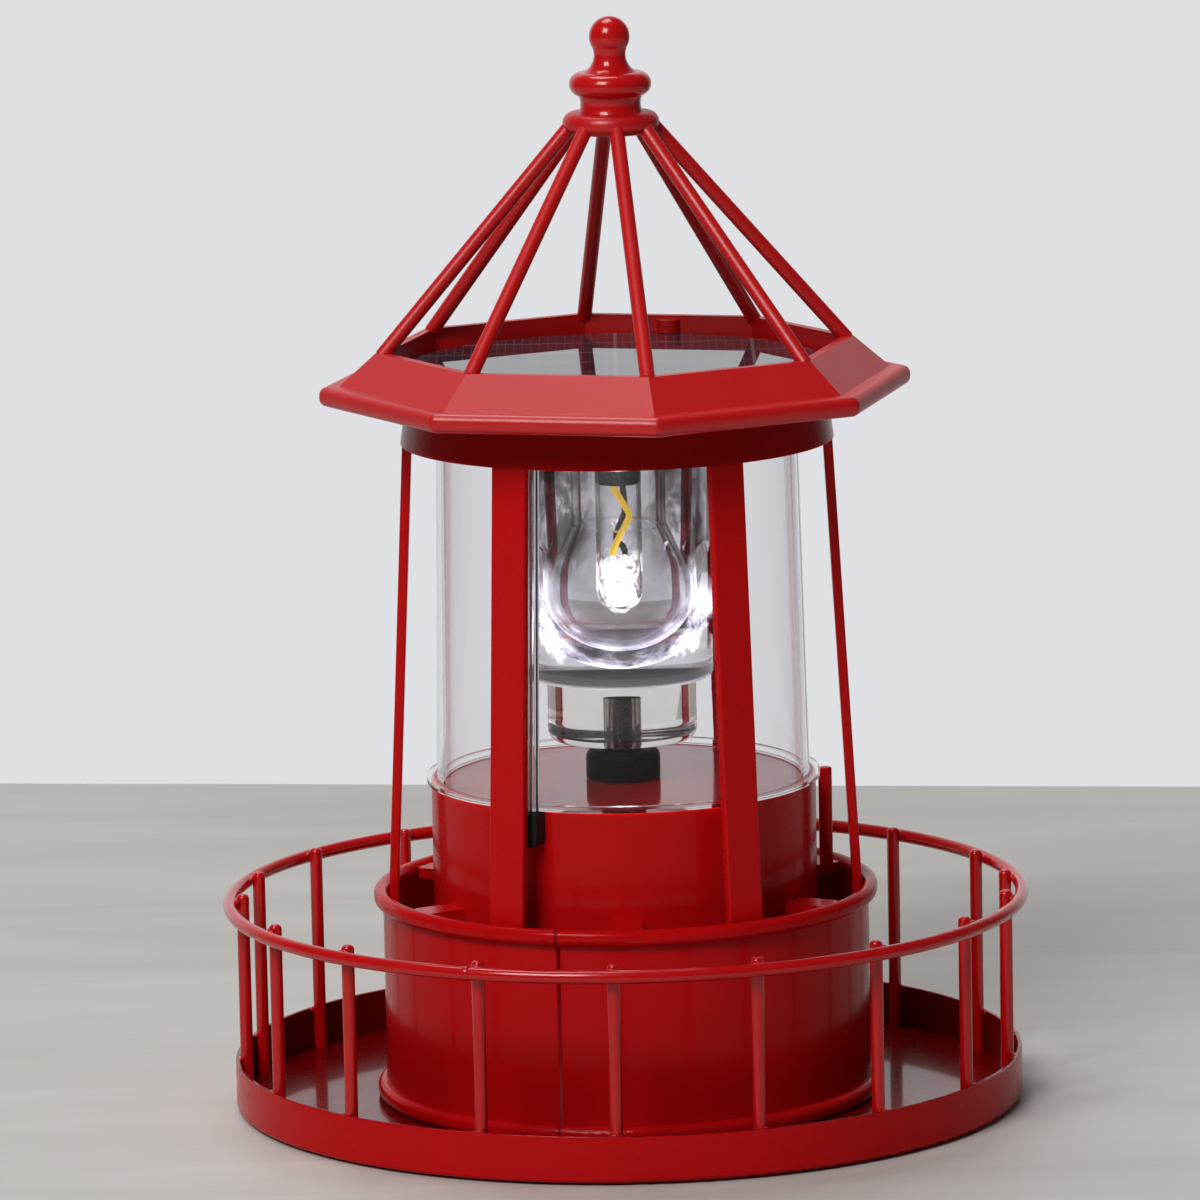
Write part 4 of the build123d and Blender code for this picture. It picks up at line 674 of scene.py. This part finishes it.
# Lamp wires and their plug: two strands in vinyl sleeves, yellow and black, bent by hand to fit the tube.
# A black plug closes the tube round them. Below the plug the yellow sleeve has a painted glow standing in for
# the LED's light.
YELLOW = (1.0, 0.66, 0.02, 1.0)
YELLOW_DEEP = (0.86, 0.52, 0.015, 1.0)
YELLOW_GLOW = 0.7
yellow_vinyl = skinned_material(
    "yellow_vinyl", relief_depth=0.03 * MM, relief_strength=0.2,
    finish={"Specular IOR Level": 0.5, "Emission Strength": YELLOW_GLOW},
    colour=YELLOW, deep_colour=YELLOW_DEEP, nib_colour=YELLOW_DEEP, cloud_scale=300.0, grain_scale=1800.0,
    nib_scale=300.0, nib_share=0.03, gloss_low=0.25, gloss_high=0.38,
)
# Painted glow: the yellow sleeve gives off its own colour below the plug.
yellow_tree, yellow_shader = opened(yellow_vinyl)
plug_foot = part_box("led_bush")[0].z
yellow_height = split(yellow_tree, object_point(yellow_tree))["Z"]
below_plug = add(yellow_tree, "Math", {1: plug_foot}, {0: yellow_height}, operation="LESS_THAN").outputs[0]
yellow_light = blend_colours(yellow_tree, below_plug, UNLIT, YELLOW)
yellow_tree.links.new(yellow_light, yellow_shader.inputs["Emission Color"])
dress(yellow_vinyl, "led_wire_yellow")
dress(black_moulding, "led_wire_black", "led_bush")

# Lantern glass: a clear moulded tube, a little wider at the foot so that it leaves its mould.
# Its thin flange stands on the rim of the cup, and the band of the cage holds its top.
LANTERN_INDEX = 1.24
lantern_glass = clear_material("lantern_glass", GLASS_TINT, LANTERN_INDEX, smear=0.015)
dress(lantern_glass, "glass")

# Lantern cage and ceiling: band, six posts and foot ring are one red moulding, which drops over the glass.
# The ceiling is a flat disc in the same plastic on the ledge of the band. The band is painted a deeper red,
# as shade under the eave.
BAND_SHADE_RED = (0.3, 0.002, 0.003, 1.0)
BAND_HEIGHT = 7.8 * MM
BAND_FADE = 1.0 * MM
cage = gloss_moulding("red_cage_moulding")
band_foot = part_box("lantern_cage")[1].z - BAND_HEIGHT
cage_height = split(cage.node_tree, object_point(cage.node_tree))["Z"]
# Painted shade: the band above its foot is blended to a deeper red.
tint(cage, soft_ramp(cage.node_tree, cage_height, band_foot - BAND_FADE, band_foot + BAND_FADE), BAND_SHADE_RED)
dress(cage, "lantern_cage")
dress(moulding, "lantern_ceiling")

# Solar lead: two fine conductors in clear vinyl, from the panel down the outside of the glass into the cup.
# It enters the cup through a black rubber grommet, pressed into a hole in the wall.
VINYL_TINT = (0.9, 0.92, 0.95, 1.0)
CORE_RADIUS = 0.15 * MM
CORE_GAP = 0.4 * MM
CORE_SIDES = 10
CORE_COLOURS = (
    ("lead_core_pale", -1, (0.7, 0.71, 0.74, 1.0), (0.6, 0.61, 0.65, 1.0)),
    ("lead_core_dark", 1, (0.05, 0.055, 0.1, 1.0), (0.035, 0.04, 0.075, 1.0)),
)
LEAD_RING = 0.3 * MM
LEAD_HEAD_DROP = 0.4 * MM
LEAD_FOOT_RISE = 3.6 * MM
RUBBER = (0.012, 0.012, 0.012, 1.0)
RUBBER_DEEP = (0.007, 0.007, 0.007, 1.0)
vinyl = clear_material("clear_vinyl", VINYL_TINT, ACRYLIC_INDEX, smear=0.08)
dress(vinyl, "solar_lead")
lead_points = [vertex.co.copy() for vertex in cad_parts["solar_lead"].data.vertices]
lead_low, lead_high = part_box("solar_lead")


def lead_middle(height):
    """Middle of the lead at a height, from the vertices of the ring nearest to it."""
    nearest = min(lead_points, key=lambda point: abs(point.z - height))
    ring = [point for point in lead_points if abs(point.z - nearest.z) < LEAD_RING]
    return sum(ring, Vector()) / len(ring)


lead_head = lead_middle(lead_high.z) - UP * LEAD_HEAD_DROP
lead_foot = lead_middle(lead_low.z + LEAD_FOOT_RISE)
lead_side = Vector((-lead_foot.y, lead_foot.x, 0)).normalized()
lead_along = lead_head - lead_foot
lead_turn = lead_along.to_track_quat("Z", "Y").to_matrix().to_4x4()
for core_name, side, core_colour, core_deep in CORE_COLOURS:
    core_finish = skinned_material(
        core_name, relief_depth=0.02 * MM, relief_strength=0.1, finish={"Specular IOR Level": 0.3},
        colour=core_colour, deep_colour=core_deep, nib_colour=core_deep, cloud_scale=300.0,
        grain_scale=1800.0, nib_scale=300.0, nib_share=0.03, gloss_low=0.3, gloss_high=0.45,
    )
    core_middle = (lead_head + lead_foot) / 2 + lead_side * side * CORE_GAP
    core = bmesh.new()
    bmesh.ops.create_cone(
        core, cap_ends=True, segments=CORE_SIDES, radius1=CORE_RADIUS, radius2=CORE_RADIUS,
        depth=lead_along.length, matrix=Matrix.Translation(core_middle) @ lead_turn,
    )
    finish_piece(core_name, core, core_finish, "lamp")
rubber = skinned_material(
    "black_rubber", relief_depth=0.05 * MM, relief_strength=0.5, finish={"Specular IOR Level": 0.3},
    colour=RUBBER, deep_colour=RUBBER_DEEP, nib_colour=BLACK_DUST, cloud_scale=120.0, grain_scale=1500.0,
    nib_scale=240.0, nib_share=0.08, gloss_low=0.5, gloss_high=0.68,
)
dress(rubber, "lead_grommet")

# Solar panel: strips of dark silicon with silver fingers, laminated on a round board under clear gloss resin.
# It lies loose on the floor of the eave, inside the roof.
CELL_BLUE = (0.03, 0.034, 0.05, 1.0)
CELL_BLACK = (0.02, 0.023, 0.034, 1.0)
GAP_PALE = (0.16, 0.165, 0.18, 1.0)
FINGER_SILVER = (0.11, 0.115, 0.125, 1.0)
CELL_LAYOUT = {
    "Color1": CELL_BLUE, "Color2": CELL_BLACK, "Mortar": GAP_PALE, "Scale": 1.0, "Mortar Size": 0.35 * MM,
    "Brick Width": 26.0 * MM, "Row Height": 13.0 * MM,
}
FINGER_LAYOUT = {"Scale": 1.0, "Mortar Size": 0.06 * MM, "Brick Width": 1.6 * MM, "Row Height": 200.0 * MM}
HAZE_NOISE = {"Scale": 60.0, "Detail": 4.0}
HAZE_SPAN = (0.3, 0.75)
PANEL_ROUGH = (0.35, 0.5)
panel, panel_tree, panel_shader = new_material("laminated_cells")
panel_point = object_point(panel_tree)
cells = add(panel_tree, "TexBrick", CELL_LAYOUT, {"Vector": panel_point}, offset=0.0).outputs["Color"]
fingers = add(panel_tree, "TexBrick", FINGER_LAYOUT, {"Vector": panel_point}, offset=0.0).outputs["Fac"]
panel_haze = add(panel_tree, "TexNoise", HAZE_NOISE, {"Vector": panel_point}).outputs["Fac"]
panel_rough = straight_ramp(panel_tree, panel_haze, *HAZE_SPAN, *PANEL_ROUGH)
panel_colour = blend_colours(panel_tree, fingers, cells, FINGER_SILVER)
panel_tree.links.new(panel_colour, panel_shader.inputs["Base Color"])
panel_tree.links.new(panel_rough, panel_shader.inputs["Roughness"])
set_finish(
    panel_shader, {"Specular IOR Level": 0.0, "Coat Weight": 1.0, "Coat Roughness": 0.02, "Coat IOR": 1.8}
)
dress(panel, "solar_panel")

# Roof frame and finial: the eave, ribs and hub are one red moulding, with a fine grain from its mould.
# The knob is a smooth gloss moulding of its own, plugged into the hub.
grained = skinned_material(
    "red_grained", relief_depth=0.06 * MM, relief_strength=0.22, finish={"Specular IOR Level": 0.55},
    colour=MOULDING_RED, deep_colour=MOULDING_DEEP, nib_colour=NIB_PINK, cloud_scale=24.0, grain_scale=2400.0,
    nib_scale=60.0, nib_share=0.02, gloss_low=0.3, gloss_high=0.42,
)
knob_gloss = skinned_material(
    "red_gloss_moulding", relief_depth=0.03 * MM, relief_strength=0.08,
    finish={"Specular IOR Level": 0.2, "Coat Weight": 0.5, "Coat Roughness": 0.08},
    colour=MOULDING_RED, deep_colour=MOULDING_DEEP, nib_colour=NIB_PINK, cloud_scale=30.0, grain_scale=1500.0,
    nib_scale=90.0, nib_share=0.03, gloss_low=0.2, gloss_high=0.3,
)
dress(grained, "roof_frame")
dress(knob_gloss, "finial")

# Table: a plain pale table top, faintly veined along its length, that ends behind the lamp.
# It lies half a millimetre under the pan, so that the pan's edge keeps the dark line of its contact.
TABLE_SIDE = 6.0
TABLE_BACK = 0.313
TABLE_FRONT = -6.0
TABLE_SKEW = 0.7
TABLE_DROP = 0.5 * MM
TABLE_DARK = (0.53, 0.515, 0.49, 1.0)
TABLE_PALE = (0.63, 0.615, 0.59, 1.0)
VEIN_STRETCH = (1.0, 5.0, 1.0)
VEIN_SPAN = (0.3, 0.7)
VEIN_NOISE = {"Scale": 4.0, "Detail": 6.0, "Roughness": 0.6, "Distortion": 1.2}
top, top_tree, top_shader = new_material("table_top")
vein_way = add(top_tree, "VectorMath", {1: VEIN_STRETCH}, {0: object_point(top_tree)}, operation="MULTIPLY")
veins = add(top_tree, "TexNoise", VEIN_NOISE, {"Vector": vein_way.outputs[0]}).outputs["Fac"]
vein = straight_ramp(top_tree, veins, *VEIN_SPAN)
top_tree.links.new(blend_colours(top_tree, vein, TABLE_DARK, TABLE_PALE), top_shader.inputs["Base Color"])
set_finish(top_shader, {"Roughness": 0.55})
table_corners = (
    (-TABLE_SIDE, TABLE_FRONT), (TABLE_SIDE, TABLE_FRONT), (TABLE_SIDE, TABLE_BACK - TABLE_SKEW),
    (-TABLE_SIDE, TABLE_BACK + TABLE_SKEW),
)
table_data = bpy.data.meshes.new("table")
table_face = tuple(range(len(table_corners)))
table_data.from_pydata([(x, y, -TABLE_DROP) for x, y in table_corners], [], [table_face])
table_data.materials.append(top)
table = bpy.data.objects.new("table", table_data)
bpy.context.scene.collection.objects.link(table)

# Light: a soft window at the left front, a soft light overhead, and a pale wall behind the lamp.
# The rest of the room is dim, so the red keeps its depth on the right.
AIM = Vector((0, 0, 0.1))
WINDOW_PLACE = (-0.67, -1.27, 1.35)
WINDOW_COLOUR = (1.0, 0.985, 0.965)
OVERHEAD_PLACE = (-0.25, 0.45, 1.75)
OVERHEAD_COLOUR = (1.0, 0.99, 0.98)
WALL = (0.74, 0.745, 0.775, 1.0)
ROOM = (0.07, 0.07, 0.075, 1.0)
ROOM_PALE = (0.7, 0.705, 0.73, 1.0)
PALE_SIDE = (-0.15, 0.99, 0.0)
PALE_SPAN = (0.55, 0.95)
NO_BOUNCE = 0.5


def soft_light(name, place, size, power, colour):
    """Square soft light that faces the lamp."""
    data = bpy.data.lights.new(name, "AREA")
    data.shape = "SQUARE"
    data.size = size
    data.energy = power
    data.color = colour
    light = bpy.data.objects.new(name, data)
    light.location = place
    light.rotation_euler = (AIM - Vector(place)).to_track_quat("-Z", "Y").to_euler()
    bpy.context.scene.collection.objects.link(light)


soft_light("window", WINDOW_PLACE, size=0.75, power=23.6, colour=WINDOW_COLOUR)
soft_light("overhead", OVERHEAD_PLACE, size=0.8, power=12.0, colour=OVERHEAD_COLOUR)
world = bpy.data.worlds.new("room")
bpy.context.scene.world = world
world.use_nodes = True
room_tree = world.node_tree
room_point = add(room_tree, "TexCoord").outputs["Generated"]
room_way = add(room_tree, "VectorMath", {1: PALE_SIDE}, {0: room_point}, operation="DOT_PRODUCT")
room_back = soft_ramp(room_tree, room_way.outputs["Value"], *PALE_SPAN)
room_light = room_tree.nodes["Background"]
room_tree.links.new(blend_colours(room_tree, room_back, ROOM, ROOM_PALE), room_light.inputs["Color"])
wall_light = add(room_tree, "Background", {"Color": WALL})
room_ray = add(room_tree, "LightPath").outputs
bounces = add(
    room_tree, "Math", links={0: room_ray["Diffuse Depth"], 1: room_ray["Glossy Depth"]}, operation="ADD"
).outputs[0]
direct = add(room_tree, "Math", {1: NO_BOUNCE}, {0: bounces}, operation="LESS_THAN").outputs[0]
through = times(room_tree, room_ray["Is Transmission Ray"], direct)
seen = larger(room_tree, room_ray["Is Camera Ray"], through)
room_mix = add(room_tree, "MixShader", links={0: seen, 1: room_light.outputs[0], 2: wall_light.outputs[0]})
room_tree.links.new(room_mix.outputs[0], room_tree.nodes["World Output"].inputs["Surface"])

# Camera: a long lens a little above the lantern, looking slightly down and rolled by about a degree.
# Light passes through many clear walls on its way to it, so the render follows it through more of them.
CAMERA_PLACE = Vector((0.0, -1.6229, 0.3699))
CAMERA_LENS = 262.6
CAMERA_SENSOR = 36.0
CAMERA_NEAR = 0.01
CAMERA_FAR = 50.0
CLEAR_PASSES = 28
PITCH = 0.16785
YAW = -0.00233
ROLL = -0.019734
ahead = Vector((math.sin(YAW) * math.cos(PITCH), math.cos(YAW) * math.cos(PITCH), -math.sin(PITCH)))
level_right = Vector((math.cos(YAW), -math.sin(YAW), 0))
level_up = level_right.cross(ahead)
camera_right = level_right * math.cos(ROLL) + level_up * math.sin(ROLL)
camera_up = level_up * math.cos(ROLL) - level_right * math.sin(ROLL)
camera_data = bpy.data.cameras.new("camera")
camera_data.lens = CAMERA_LENS
camera_data.sensor_width = CAMERA_SENSOR
camera_data.clip_start = CAMERA_NEAR
camera_data.clip_end = CAMERA_FAR
camera = bpy.data.objects.new("camera", camera_data)
camera_turn = Matrix((camera_right, camera_up, -ahead)).transposed().to_4x4()
camera.matrix_world = Matrix.Translation(CAMERA_PLACE) @ camera_turn
scene = bpy.context.scene
scene.collection.objects.link(camera)
scene.camera = camera
scene.view_settings.view_transform = "Standard"
scene.cycles.max_bounces = CLEAR_PASSES
scene.cycles.transmission_bounces = CLEAR_PASSES
scene.cycles.transparent_max_bounces = CLEAR_PASSES
